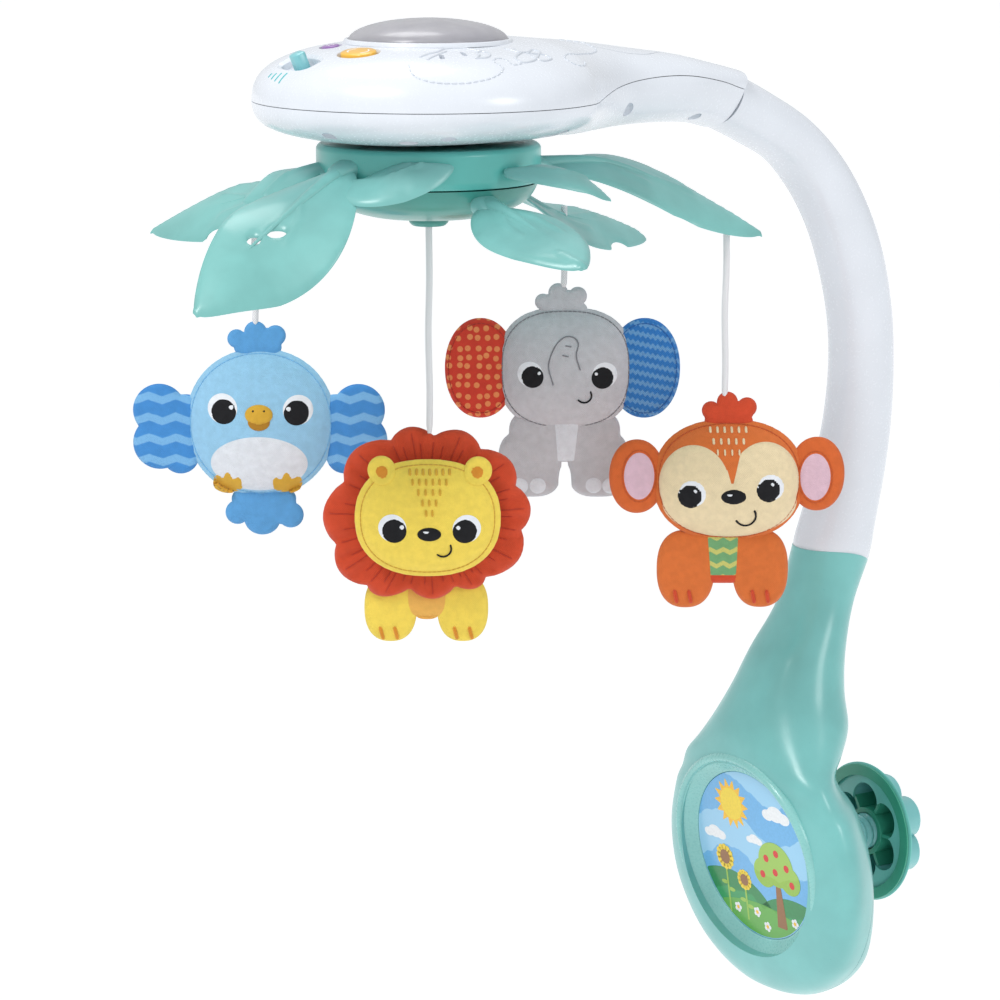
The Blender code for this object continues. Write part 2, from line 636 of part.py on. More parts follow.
def make_controls(upper):
    """Two sprung buttons and a sliding timer switch on the round top, each on its own joint's empty."""
    buttons = (
        ("play_button", (15.0, -282.0), (8.2, 5.6), ((0.80, 0.42, 0.05), 0.35)),
        ("mode_button", (-15.0, -277.0), (6.0, 4.0), ((0.30, 0.13, 0.42), 0.35)),
    )
    for name, (x, y), (half_x, half_y), look in buttons:
        frame = surface_frame(x * MM, y * MM)
        axis = empty(name + "_axis", (0.0, 0.0, 0.0), bpy.data.objects["frame"])
        axis.matrix_local = frame
        well = as_cutter(plate(name + "_well", [oval(half_x * MM + GAP, half_y * MM + GAP)], 16.0 * MM, BLACK))
        well.matrix_local = frame
        boolean(upper, well)
        button = place(plate(name, [oval(half_x * MM, half_y * MM)], 5.2 * MM, look, 0.6 * MM), axis)
        button.location = (0.0, 0.0, -1.8 * MM)
    frame = surface_frame(-6.7 * MM, -298.0 * MM)
    well = as_cutter(plate("switch_slot", [oval(9.6 * MM, 3.6 * MM, power=4.0)], 16.0 * MM, BLACK))
    well.matrix_local = frame
    boolean(upper, well)
    axis = empty("timer_switch_axis", (0.0, 0.0, 0.0), bpy.data.objects["frame"])
    axis.matrix_local = frame
    switch = place(plate("timer_switch", [oval(3.6 * MM, 3.0 * MM, power=3.5)], 8.0 * MM,
                         ((0.20, 0.58, 0.60), 0.35), 0.6 * MM), axis)
    switch.location = (0.0, 0.0, 0.0)


def make_head_insides():
    """Light, speaker, boards, motor and cells, each clear of its neighbours."""
    film = place(cylinder("star_film", 30.0 * MM, 397.2 * MM, 397.8 * MM, ((0.1, 0.12, 0.3), 0.2), 32))
    film.location = (0.0, HUB_Y, 0.0)
    profile = [(0.0, 391.0), (1.5, 390.6), (2.5, 389.2), (2.5, 386.0), (24.0, 386.0), (24.0, 384.4), (0.0, 384.4)]
    light = place(turned("light_board", [(r * MM, z * MM) for r, z in profile], BOARD, steps=16))
    light.location = (0.0, HUB_Y, 0.0)
    profile = [(0.0, 383.0), (4.0, 383.0), (13.0, 385.0), (14.0, 385.0), (14.0, 382.0), (8.0, 378.0),
               (8.0, 374.0), (0.0, 374.0)]
    speaker = place(turned("speaker", [(r * MM, z * MM) for r, z in profile], BLACK, steps=16))
    speaker.location = (43.0 * MM, -247.0 * MM, 0.0)
    board = place(block("main_board", (54.0 * MM, 24.0 * MM, 1.6 * MM), BOARD))
    board.location = (0.0, -190.0 * MM, 368.0 * MM)
    motor = place(cylinder("drive_motor", 10.0 * MM, 366.5 * MM, 384.0 * MM, STEEL, 24))
    motor.location = (0.0, gear_centre("motor_pinion"), 0.0)
    for index in range(3):
        cell = place(cylinder("battery_%d" % (index + 1), 7.1 * MM, -25.0 * MM, 25.0 * MM, BRASS, 16))
        cell.rotation_euler = (math.radians(90.0), 0.0, 0.0)
        cell.location = ((index - 1) * 15.0 * MM, -146.0 * MM, 370.2 * MM)


def make_head_screws(lower):
    """Recessed screws under the round head."""
    frames = []
    for degrees in (25.0, 100.0, 200.0, 318.0):
        angle = math.radians(degrees)
        frames.append(Matrix.Translation((61.0 * MM * math.cos(angle), HUB_Y + 61.0 * MM * math.sin(angle), 365.0 * MM)))
    make_screws("head_screw", frames, 13.0 * MM, STEEL, lower)


# ---------------------------------------------------------------- gears and hub

def pitch_radius(name):
    return TEETH[name] * GEAR_MODULE / 2.0


def gear_centre(name):
    """Gears stand in a row from the carousel axis, away from the arm, with a little backlash."""
    y = HUB_Y
    if name == "drive_gear":
        return y
    y -= pitch_radius("drive_gear") + pitch_radius("idler_gear") + 0.15 * MM
    if name == "idler_gear":
        return y
    return y - pitch_radius("idler_gear") - pitch_radius("motor_pinion") - 0.15 * MM


def gear_outline(teeth, phase):
    """Trapezoid teeth. A tooth points along the angle phase."""
    pitch = teeth * GEAR_MODULE / 2.0
    step = 2.0 * math.pi / teeth
    points = []
    for index in range(teeth):
        for share, reach in ((-0.34, -1.1), (-0.13, 0.8), (0.13, 0.8), (0.34, -1.1)):
            angle = phase + (index + share) * step
            radius = pitch + reach * GEAR_MODULE
            points.append((radius * math.cos(angle), radius * math.sin(angle)))
    return points


def make_gears(carousel):
    phases = {"drive_gear": -math.pi / 2.0,
              "idler_gear": math.pi / 2.0 + math.pi / TEETH["idler_gear"],
              "motor_pinion": math.pi / 2.0}
    # The idler has an even tooth count, so it shows a gap to the drive gear and also one to the pinion.
    middle = (GEAR_Z[0] + GEAR_Z[1]) / 2.0
    for name, teeth in TEETH.items():
        outlines = [gear_outline(teeth, phases[name])]
        if name != "drive_gear":
            outlines.append(oval(1.2 * MM, 1.2 * MM, count=8))
        gear = plate(name, outlines, GEAR_Z[1] - GEAR_Z[0], ((0.75, 0.74, 0.70), 0.4))
        if name == "drive_gear":
            place(gear, carousel)
            gear.location = (0.0, 0.0, middle)
            low, high = SHAFT_Z[0] - middle, SHAFT_Z[1] - middle
            shaft = as_cutter(cylinder("carousel_shaft", SHAFT_RADIUS, low, high, STEEL, 12))
            shaft.parent = carousel
            shaft.location = gear.location
            boolean(gear, shaft, "UNION")
        else:
            axis = empty(name + "_axis", (0.0, gear_centre(name), 0.0), bpy.data.objects["frame"])
            place(gear, axis)
            gear.location = (0.0, 0.0, middle)


def make_hub(carousel):
    hole = SHAFT_RADIUS + GAP
    skirt = [(hole, SKIRT_TOP), (SKIRT_RADIUS - 1.0 * MM, SKIRT_TOP), (SKIRT_RADIUS, SKIRT_TOP - 1.0 * MM),
             (SKIRT_RADIUS, SKIRT_SEAM + 3.0 * MM), (SKIRT_RADIUS - 0.8 * MM, SKIRT_SEAM + GAP),
             (SKIRT_RADIUS - 3.3 * MM, SKIRT_SEAM + GAP), (SKIRT_RADIUS - 3.3 * MM, SKIRT_TOP - 2.5 * MM),
             (hole, SKIRT_TOP - 2.5 * MM)]
    hub = place(turned("hub_skirt", skirt, DARK_TEAL, steps=28, closed=True), carousel)
    for index, (azimuth, spine, half_width, roll) in enumerate(PETALS):
        petal = as_cutter(leaf_solid("petal_%d" % index, azimuth, spine, half_width, roll, DARK_TEAL, 2, 2))
        petal.parent = carousel
        boolean(hub, petal, "UNION")
    bowl = [(SKIRT_RADIUS - 1.2 * MM, SKIRT_SEAM), (45.5 * MM, 331.5 * MM), (38.0 * MM, 326.0 * MM),
            (26.0 * MM, 322.3 * MM), (CAP_RADIUS + GAP, BOWL_BOTTOM), (CAP_RADIUS + GAP, BOWL_BOTTOM + 2.5 * MM),
            (26.0 * MM, 324.9 * MM), (36.6 * MM, 328.2 * MM), (43.0 * MM, 333.0 * MM), (45.7 * MM, SKIRT_SEAM)]
    place(turned("hub_bowl", bowl, DARK_TEAL, steps=28, closed=True), carousel)
    cap = [(0.0, 326.0 * MM), (CAP_RADIUS, 326.0 * MM), (CAP_RADIUS, CAP_BOTTOM + 1.2 * MM),
           (CAP_RADIUS - 1.4 * MM, CAP_BOTTOM), (0.0, CAP_BOTTOM)]
    place(turned("hub_cap", cap, DARK_TEAL, steps=16), carousel)


# ---------------------------------------------------------------- leaves and cords

def leaf_solid(name, azimuth, spine, half_width, roll, look, across=4, steps=3):
    """Curved blade along a spine of (radius, height), pointed at the tip and narrow at the stem."""
    rows = smooth_row(spine, steps)
    angle = FACING + math.radians(-azimuth)
    radial = Vector((math.cos(angle), math.sin(angle), 0.0))
    side = Vector((-radial.y, radial.x, 0.0))
    points = []
    for index, (radius, height) in enumerate(rows):
        share = index / (len(rows) - 1)
        swell = math.sin(math.pi * min(share * 0.97 + 0.03, 0.985) ** 0.8)
        half = half_width * max(swell, 0.06)
        lean = math.radians(roll) * min(1.0, 1.6 * share)
        for column in range(across + 1):
            t = 2.0 * column / across - 1.0
            out = t * half * math.cos(lean)
            drop = t * half * math.sin(lean) - 0.14 * half * t * t
            points.append(radial * radius * MM + side * out * MM + Vector((0.0, 0.0, (height + drop) * MM)))
    faces = []
    width = across + 1
    for row in range(len(rows) - 1):
        for column in range(across):
            start = row * width + column
            faces.append((start, start + width, start + width + 1, start + 1))
    mesh = bpy.data.meshes.new(name)
    mesh.from_pydata([tuple(point) for point in points], [], faces)
    mesh.shade_smooth()
    item = mesh_object(name, mesh, look)
    solid = item.modifiers.new("thickness", "SOLIDIFY")
    solid.thickness = LEAF_THICKNESS
    solid.offset = 0.0
    return item


def spine_height(spine, radius):
    """Height of a leaf's spine at a distance from the carousel axis."""
    rows = smooth_row(spine, 24)
    return min(rows, key=lambda row: abs(row[0] - radius))[1]


def make_leaves(carousel):
    for name, (azimuth, spine, half_width, roll) in LEAVES.items():
        place(leaf_solid(name, azimuth, spine, half_width, roll, LEAF_TEAL), carousel)


def make_cord(name, top, bottom, parent):
    """A straight hanging cord, as a thin tube with its origin at the upper end."""
    curve = bpy.data.curves.new(name, "CURVE")
    curve.dimensions = "3D"
    curve.bevel_depth = CORD_RADIUS
    curve.bevel_resolution = 2
    curve.use_fill_caps = True
    curve.materials.append(material(name, (0.85, 0.83, 0.86), 0.8))
    spline = curve.splines.new("POLY")
    count = 5
    spline.points.add(count - 1)
    for index, point in enumerate(spline.points):
        share = index / (count - 1)
        point.co = (0.0, 0.0, -(top - bottom) * MM * share, 1.0)
    item = bpy.data.objects.new(name, curve)
    place(item, parent)
    return item


def hang(animal, radius, azimuth, top, bottom, carousel):
    """The cord's swing axis under its leaf and the toy's twist axis under the cord."""
    angle = FACING + math.radians(-azimuth)
    spot = (radius * MM * math.cos(angle), radius * MM * math.sin(angle), top * MM)
    swing = empty(animal + "_swing", spot, carousel, FACING)
    make_cord(animal + "_cord", top, bottom, swing)
    return empty(animal + "_twist", (0.0, 0.0, -(top - bottom) * MM - GAP), swing)


# ---------------------------------------------------------------- toys, drawn facing -Y from their own cord

def pad(name, outline, thickness, colour, parent, depth=0.0, rounding=None):
    rounding = thickness * 0.38 if rounding is None else rounding
    rows = 1 if thickness > 15.0 * MM else 0
    item = place(plate(name, [outline], thickness, (colour, 0.85), rounding, rows), parent)
    return upright(item, (0.0, 0.0), depth)


def mm_oval(x, z, half_width, half_height, count, power=2.0):
    return oval(half_width * MM, half_height * MM, (x * MM, z * MM), count, power)


def sewn(item, other):
    """Join a small piece into a bigger one that it is sewn into."""
    parent = item.parent
    as_cutter(other)
    other.parent = parent
    boolean(item, other, "UNION")


def legs(name, x, z, spread, half_width, half_height, thickness, chest, colour, twist, depth=0.0):
    """Lower body of a toy: two legs with the chest between them."""
    chest_z, chest_height = chest
    body = pad(name, mm_oval(x, chest_z, spread, chest_height, 8, 3.0), 7.0 * MM, colour, twist, depth)
    for side in (-1, 1):
        outline = mm_oval(x + side * spread, z, half_width, half_height, 12, 2.6)
        sewn(body, pad("%s_%d" % (name, side), outline, thickness * MM, colour, twist, depth))


def make_bird(twist):
    """Heights here and in the other toys run down from the cord's lower end."""
    blue = (0.20, 0.52, 0.80)
    body = pad("bird_body", mm_oval(1.0, -47.2, 33.4, 33.4, 20), 26.0 * MM, blue, twist)
    sewn(body, pad("bird_tuft", mm_oval(1.0, -8.4, 12.0, 8.0, 10), 5.0 * MM, blue, twist))
    sewn(body, pad("bird_tail", mm_oval(1.0, -88.6, 16.0, 11.4, 10), 5.0 * MM, blue, twist))
    for side, name in ((-1.0, "bird_wing_left"), (1.0, "bird_wing_right")):
        wing = mm_oval(1.0 + side * 47.6, -51.0, 12.6, 19.0, 12, 2.3)
        pad(name, wing, 5.0 * MM, (0.12, 0.36, 0.72), twist)


def make_lion(twist):
    red = (0.67, 0.09, 0.03)
    yellow = (0.80, 0.58, 0.12)
    mane = [(-2.0 * MM + 45.4 * MM * (1.0 + 0.035 * math.cos(11.0 * a)) * math.cos(a),
             -39.4 * MM + 37.4 * MM * (1.0 + 0.035 * math.cos(11.0 * a)) * math.sin(a))
            for a in (2.0 * math.pi * k / 33 for k in range(33))]
    pad("lion_mane", mane, 6.0 * MM, red, twist, 3.4 * MM, 1.4 * MM)
    pad("lion_face", mm_oval(-1.0, -39.4, 32.6, 26.6, 20, 2.2), 19.0 * MM, yellow, twist, -9.5 * MM)
    legs("lion_legs", -3.0, -88.3, 16.8, 11.6, 9.2, 9.0, (-86.0, 5.4), yellow, twist, 2.0 * MM)


def make_elephant(twist):
    grey = (0.50, 0.49, 0.51)
    head = pad("elephant_head", mm_oval(1.0, -40.6, 31.0, 28.8, 20, 2.6), 24.0 * MM, grey, twist)
    sewn(head, pad("elephant_tuft", mm_oval(0.5, -7.4, 11.4, 7.0, 10), 5.0 * MM, grey, twist))
    pad("elephant_ear_left", mm_oval(-43.0, -38.6, 11.6, 22.6, 12, 2.4), 6.0 * MM, (0.60, 0.10, 0.06), twist)
    pad("elephant_ear_right", mm_oval(43.2, -38.8, 10.0, 22.6, 12, 2.4), 6.0 * MM, (0.10, 0.25, 0.62), twist)
    legs("elephant_legs", 0.5, -86.7, 17.0, 12.6, 16.1, 13.0, (-78.0, 6.6), grey, twist)


def make_monkey(twist):
    orange = (0.67, 0.16, 0.04)
    head = pad("monkey_head", mm_oval(1.5, -42.0, 35.0, 28.8, 20, 2.3), 25.0 * MM, orange, twist)
    sewn(head, pad("monkey_tuft", mm_oval(1.0, -8.2, 12.0, 7.6, 10), 5.0 * MM, orange, twist))
    for side, name in ((-1.0, "monkey_ear_left"), (1.0, "monkey_ear_right")):
        pad(name, mm_oval(1.0 + side * 45.6, -40.6, 9.0, 16.6, 12, 2.2), 6.0 * MM, orange, twist)
    legs("monkey_legs", -0.5, -84.6, 17.6, 12.6, 13.1, 13.0, (-80.5, 8.0), orange, twist)


# ---------------------------------------------------------------- assembly

def main():
    clear_scene()
    frame = empty("frame", (0.0, 0.0, -STUD_DROP))
    make_base()
    make_stud()
    make_knob()
    make_arm()
    upper, lower = make_head_shells()
    make_dome()
    make_controls(upper)
    make_head_insides()
    make_head_screws(lower)

    carousel = empty("carousel_axis", (0.0, HUB_Y, 0.0), frame)
    make_gears(carousel)
    make_hub(carousel)
    make_leaves(carousel)

    toys = {"bird": make_bird, "elephant": make_elephant, "monkey": make_monkey}
    for animal, (leaf, radius, bottom) in CORDS.items():
        azimuth, spine = LEAVES[leaf][:2]
        top = spine_height(spine, radius) - LEAF_THICKNESS / MM / 2.0 - CORD_DROP
        toys[animal](hang(animal, radius, azimuth, top, bottom, carousel))
    make_lion(hang("lion", 0.0, 0.0, CAP_BOTTOM / MM - 0.3, LION_CORD_END, carousel))


main()
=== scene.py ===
"""Crib mobile: moulded shells, leaves, stuffed animals and a printed picture, set on the CAD frame."""
import json
import math

import bmesh
import bpy
import numpy as np
from mathutils import Matrix, Vector
from mathutils.bvhtree import BVHTree


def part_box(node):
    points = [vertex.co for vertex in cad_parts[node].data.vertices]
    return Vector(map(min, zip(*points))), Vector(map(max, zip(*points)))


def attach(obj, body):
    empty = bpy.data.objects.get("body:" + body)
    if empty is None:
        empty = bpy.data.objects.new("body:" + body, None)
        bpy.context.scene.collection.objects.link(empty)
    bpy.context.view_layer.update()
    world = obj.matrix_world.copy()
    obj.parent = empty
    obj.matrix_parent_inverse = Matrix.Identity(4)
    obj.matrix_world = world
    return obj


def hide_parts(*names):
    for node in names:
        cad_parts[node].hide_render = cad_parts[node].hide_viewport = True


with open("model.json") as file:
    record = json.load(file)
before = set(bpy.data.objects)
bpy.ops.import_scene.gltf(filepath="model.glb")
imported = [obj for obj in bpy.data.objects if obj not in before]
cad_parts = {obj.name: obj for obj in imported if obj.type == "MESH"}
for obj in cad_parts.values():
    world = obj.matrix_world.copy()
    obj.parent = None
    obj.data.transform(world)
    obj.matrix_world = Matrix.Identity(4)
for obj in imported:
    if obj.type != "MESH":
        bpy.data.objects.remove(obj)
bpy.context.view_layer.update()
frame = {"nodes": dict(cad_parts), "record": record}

MM = 0.001
RECORD = frame["record"]
JOINTS = {joint["name"]: joint for joint in RECORD["behaviour"]["joints"]}


def corner(node, end, axis):
    """One side of a CAD node's box in millimetres: end 0 is the low side and 1 the high side."""
    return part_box(node)[end][axis] / MM


# Lengths are in millimetres. Heights run from the rail pad's mount, which is the frame's origin.
FACING = math.radians(55.0)
HUB_Y = (corner("hub_cap", 0, 1) + corner("hub_cap", 1, 1)) / 2.0
HUB = np.array((0.0, HUB_Y, 0.0))

# Base
BASE_SIDES = 96
BASE_SECTIONS = (
    # height, half width, front, back, power of the outline, taper to the back
    (-88.0, 14.0, -34.0, -14.0, 2.2, 0.10),
    (-84.0, 27.0, -41.0, -8.0, 2.4, 0.10),
    (-75.0, 41.5, -46.5, -4.5, 2.7, 0.12),
    (-61.0, 54.0, -50.5, -3.2, 2.9, 0.15),
    (-39.0, 62.0, -54.6, -3.0, 2.9, 0.22),
    (-15.0, 63.0, -57.2, -3.0, 2.7, 0.29),
    (7.0, 56.0, -59.2, -3.0, 2.4, 0.42),
    (17.0, 49.0, -59.6, -7.5, 2.3, 0.50),
    (26.0, 45.0, -60.7, -10.5, 2.2, 0.50),
    (35.0, 42.0, -61.0, -5.5, 2.1, 0.30),
    (47.0, 38.0, -59.0, -2.5, 2.0, 0.08),
    (63.0, 30.5, -52.5, -3.0, 2.0, 0.0),
    (81.0, 25.0, -43.5, -0.5, 2.0, 0.0),
    (103.0, 20.0, -29.0, 5.5, 2.0, 0.0),
)
NECK_TOP = (-2.6, 127.0)
NECK_LEAN = math.radians(15.0)
NECK_RADIUS = 18.6
SPLIT_Y = -18.0
SPLIT_HEIGHT = -17.0
SPLIT_LEAN = math.radians(8.0)
SEAM_WIDTH = 0.32

# Picture, in its own frame: X across, Y up, Z out of the face
FACE_TILT = math.radians(9.0)
PICTURE_CENTRE = (-47.0, -18.0)
PICTURE_RADIUS = 42.5
RIM_PROFILE = ((42.7, -1.0), (42.7, 0.9), (43.6, 1.3), (46.4, 3.4), (48.9, 5.4), (49.7, 6.9), (51.0, 7.7),
               (52.5, 7.0),
               (53.5, 4.6), (52.6, -1.0))
RECESS_RADIUS = 48.6
PICTURE_FACE = 0.8

# Clamp
STUD_HEIGHT = -17.0
STUD_RADIUS = 9.0
THREAD_PITCH = 4.0
FLANGE_RADIUS = 34.5
FLANGE_BACK = corner("clamp_knob", 0, 1) + 1.6
GRIP_RADIUS = 23.4
GRIP_LOBE = 3.4
GRIP_LOBES = 6
GRIP_BACK = corner("clamp_knob", 1, 1)

# Arm: distance along Y, height, half thickness in the arm's plane, half width across it
ARM_SECTIONS = (
    (-7.4, 115.0, 14.6, 14.6),
    (-2.4, 127.6, 18.0, 18.0),
    (2.9, 146.0, 17.3, 17.3),
    (8.8, 169.0, 16.7, 16.7),
    (13.1, 192.0, 15.9, 15.9),
    (14.8, 218.0, 15.3, 15.3),
    (13.0, 243.0, 15.3, 15.3),
    (6.8, 269.0, 15.4, 15.5),
    (-2.6, 291.2, 14.8, 15.6),
    (-15.8, 311.0, 14.0, 16.0),
    (-33.0, 327.8, 13.0, 16.6),
    (-54.0, 339.5, 13.2, 17.4),
    (-74.7, 349.2, 13.5, 18.0),
)

# Head
HEAD_RADIUS = corner("head_upper_shell", 1, 0)
HEAD_SEAM = (corner("head_upper_shell", 0, 2) + corner("head_lower_shell", 1, 2)) / 2.0
HEAD_TOP = HEAD_SEAM + 26.5
HEAD_BOTTOM = HEAD_SEAM - 18.0
HEAD_POWER = 2.45
HEAD_NECK = (
    # distance along Y, half width, top, bottom, lean of the section
    (-176.0, 49.0, 380.5, 338.0, 0.0),
    (-160.0, 37.5, 379.0, 338.6, 0.0),
    (-146.0, 31.0, 377.2, 339.6, 0.0),
    (-128.0, 28.0, 374.6, 340.4, 0.0),
    (-108.0, 26.0, 371.4, 340.2, 0.1),
    (-91.0, 22.0, 367.0, 338.9, 0.28),
    (-75.5, 18.2, 362.8, 336.2, 0.47),
)
NECK_MIDDLE = 349.2
NECK_SEAM = ((-330.0, 0.0), (-200.0, 0.0), (-180.0, 0.6), (-158.0, 4.2), (-133.0, 6.7), (-111.0, 6.5),
             (-90.0, 3.0), (-76.0, -1.0), (-60.0, -5.0))
DOME_RADIUS = 35.0
DOME_TOP = corner("dome_lens", 1, 2)

# Carousel
SKIRT_RADIUS = 49.5
SKIRT_TOP = 337.3
SKIRT_SEAM = 320.0
BOWL_BOTTOM = corner("hub_bowl", 0, 2)
CAP_RADIUS = 8.8
CAP_BOTTOM = corner("hub_cap", 0, 2)

# Leaves: turn round the hub from the toys' right hand, spine as (radius, height), half width, roll
LEAVES = {
    "leaf_front_left": (135.0, ((50.6, 328.5), (70.0, 319.0), (98.0, 303.0), (119.0, 289.0), (136.0, 274.0)),
                        25.0, -35.0),
    "leaf_back_left": (-142.0, ((50.6, 326.0), (74.0, 317.0), (101.0, 307.0), (134.0, 298.0), (167.0, 286.5)),
                       20.0, -40.0),
    "leaf_front_right": (58.0, ((50.0, 313.0), (64.0, 311.5), (84.0, 307.0), (106.0, 301.5), (126.0, 294.5)),
                         21.0, 12.0),
    "leaf_back_right": (-52.0, ((47.0, 316.0), (70.0, 306.0), (98.0, 296.0), (134.0, 288.5), (165.0, 280.5)),
                        17.0, 42.0),
    "leaf_right": (-14.0, ((50.6, 326.0), (76.0, 326.5), (98.0, 320.5), (128.0, 305.0), (154.0, 292.5)),
                   18.0, 36.0),
}
# Petals that wrap round the skirt: the third number of a spine point is a further turn in degrees
PETALS = (
    (0.0, ((53.0, 322.0, 134.0), (57.0, 324.0, 118.0), (57.0, 327.5, 98.0), (53.0, 331.0, 77.0)), 12.0, 52.0,
     0.95),
    (0.0, ((50.5, 327.0, 49.0), (62.0, 328.0, 36.0), (75.0, 323.5, 27.0), (85.0, 315.0, 21.0)), 9.5, 28.0,
     0.2),
    (166.0, ((46.0, 328.0), (60.0, 325.0), (71.0, 320.0), (83.0, 313.0)), 13.0, -20.0, 0.9),
    (-98.0, ((46.0, 328.0), (60.0, 325.0), (72.0, 319.0), (84.0, 311.0)), 13.0, 0.0, 0.9),
)
LEAF_BELLY = {"leaf_front_left": 0.34}
LEAF_THICKNESS = 2.2
CORD_DIAMETER = 3.0
CORD_TUCK = 1.8
SEWN_END = 0.6


# ---------------------------------------------------------------- camera and light

def make_camera():
    """A long lens a little above the head, looking down at the mobile from its front right."""
    pitch = math.radians(10.6)
    ahead = Vector((-math.sin(FACING) * math.cos(pitch), math.cos(FACING) * math.cos(pitch),
                    -math.sin(pitch)))
    right = Vector((math.cos(FACING), math.sin(FACING), 0.0))
    up = right.cross(ahead)
    data = bpy.data.cameras.new("camera")
    data.lens = 136.8
    data.sensor_width = 36.0
    camera = bpy.data.objects.new("camera", data)
    camera.matrix_world = (Matrix.Translation((1.38584, -1.16804, 0.48979))
                           @ Matrix((right, up, -ahead)).transposed().to_4x4())
    bpy.context.scene.collection.objects.link(camera)
    bpy.context.scene.camera = camera


def area_light(name, direction, distance, size, power, colour=(1.0, 1.0, 1.0)):
    """Soft box aimed at the middle of the mobile."""
    aim = Vector((0.0, -0.12, 0.2))
    data = bpy.data.lights.new(name, "AREA")
    data.shape = "DISK"
    data.size = size
    data.energy = power
    data.color = colour
    light = bpy.data.objects.new(name, data)
    offset = Vector(direction).normalized() * distance
    light.matrix_world = Matrix.Translation(aim + offset) @ offset.to_track_quat("Z",
                                                                                 "Y").to_matrix().to_4x4()
    bpy.context.scene.collection.objects.link(light)


def make_studio():
    """White room light, three soft boxes and a pale floor well below the mobile."""
    scene = bpy.context.scene
    scene.view_settings.view_transform = "Standard"
    world = bpy.data.worlds.new("studio")
    world.use_nodes = True
    back = world.node_tree.nodes["Background"]
    back.inputs["Color"].default_value = (0.97, 0.985, 1.0, 1.0)
    back.inputs["Strength"].default_value = 0.66
    scene.world = world
    area_light("key", (0.2, -1.0, 1.1), 2.2, 0.7, 21.0)
    area_light("side", (1.0, 0.25, 0.45), 2.2, 0.7, 8.0)
    area_light("top", (-0.5, 0.1, 1.0), 2.2, 1.0, 9.0)
    mesh = bpy.data.meshes.new("floor")
    half = 90.0
    drop = -1.6
    mesh.from_pydata([(-half, -half, drop), (half, -half, drop), (half, half, drop), (-half, half, drop)],
                     [], [(0, 1, 2, 3)])
    floor = bpy.data.objects.new("floor", mesh)
    scene.collection.objects.link(floor)
    paint = plastic("floor_paint", (0.9, 0.905, 0.91), 0.7, 0.02, 0.0)
    shader = paint.node_tree.nodes["Principled BSDF"]
    shader.inputs["Emission Color"].default_value = (1.0, 1.0, 1.0, 1.0)
    shader.inputs["Emission Strength"].default_value = 0.44
    mesh.materials.append(paint)


# ---------------------------------------------------------------- shader tools

class Field:
    """A shader value that combines with ordinary operators."""

    def __init__(self, tree, socket):
        self.tree = tree
        self.socket = socket

    def do(self, operation, *others):
        node = self.tree.nodes.new("ShaderNodeMath")
        node.operation = operation
        for place, value in enumerate((self,) + others):
            if isinstance(value, Field):
                self.tree.links.new(value.socket, node.inputs[place])
            else:
                node.inputs[place].default_value = value
        return Field(self.tree, node.outputs[0])

    def __add__(self, other):
        return self.do("ADD", other)

    def __sub__(self, other):
        return self.do("SUBTRACT", other)

    def __mul__(self, other):
        return self.do("MULTIPLY", other)

    def sine(self):
        return self.do("SINE")

    def size(self):
        return self.do("ABSOLUTE")

    def step(self, edge, width):
        """0 below the edge and 1 above it, over a width."""
        node = self.tree.nodes.new("ShaderNodeMapRange")
        node.interpolation_type = "SMOOTHSTEP"
        self.tree.links.new(self.socket, node.inputs["Value"])
        node.inputs["From Min"].default_value = edge - width / 2.0
        node.inputs["From Max"].default_value = edge + width / 2.0
        return Field(self.tree, node.outputs["Result"])


class Look:
    """A Principled material and the coordinates it is drawn in, in millimetres of the piece's own frame."""

    def __init__(self, name):
        self.made = bpy.data.materials.new(name)
        self.made.use_nodes = True
        self.tree = self.made.node_tree
        self.shader = self.tree.nodes["Principled BSDF"]
        coordinates = self.tree.nodes.new("ShaderNodeTexCoord")
        scale = self.tree.nodes.new("ShaderNodeVectorMath")
        scale.operation = "SCALE"
        scale.inputs["Scale"].default_value = 1.0 / MM
        self.tree.links.new(coordinates.outputs["Object"], scale.inputs[0])
        self.point = scale.outputs[0]
        split = self.tree.nodes.new("ShaderNodeSeparateXYZ")
        self.tree.links.new(self.point, split.inputs[0])
        self.x, self.y, self.z = (Field(self.tree, split.outputs[index]) for index in range(3))

    def noise(self, size, detail=3.0):
        """Cloudy value from 0 to 1 whose patches are about that many millimetres wide."""
        node = self.tree.nodes.new("ShaderNodeTexNoise")
        self.tree.links.new(self.point, node.inputs["Vector"])
        node.inputs["Scale"].default_value = 1.0 / size
        node.inputs["Detail"].default_value = detail
        return Field(self.tree, node.outputs[0])

    def mix(self, share, first, second):
        """Colour between two colours, each an (r, g, b) or an earlier mix."""
        node = self.tree.nodes.new("ShaderNodeMix")
        node.data_type = "RGBA"
        self.tree.links.new(share.socket, node.inputs["Factor"])
        for place, colour in ((6, first), (7, second)):
            if isinstance(colour, tuple):
                node.inputs[place].default_value = (*colour, 1.0)
            else:
                self.tree.links.new(colour, node.inputs[place])
        return node.outputs[2]

    def colour(self, socket):
        self.tree.links.new(socket, self.shader.inputs["Base Color"])

    def set(self, **values):
        for name, value in values.items():
            socket = self.shader.inputs[name.replace("_", " ")]
            if isinstance(value, Field):
                self.tree.links.new(value.socket, socket)
            else:
                socket.default_value = value

    def bump(self, height, depth, strength=0.5):
        """Relief of that depth in millimetres."""
        node = self.tree.nodes.new("ShaderNodeBump")
        node.inputs["Strength"].default_value = strength
        node.inputs["Distance"].default_value = depth * MM
        self.tree.links.new(height.socket, node.inputs["Height"])
        self.tree.links.new(node.outputs[0], self.shader.inputs["Normal"])


def shade(colour, amount):
    return tuple(min(1.0, channel * amount) for channel in colour)


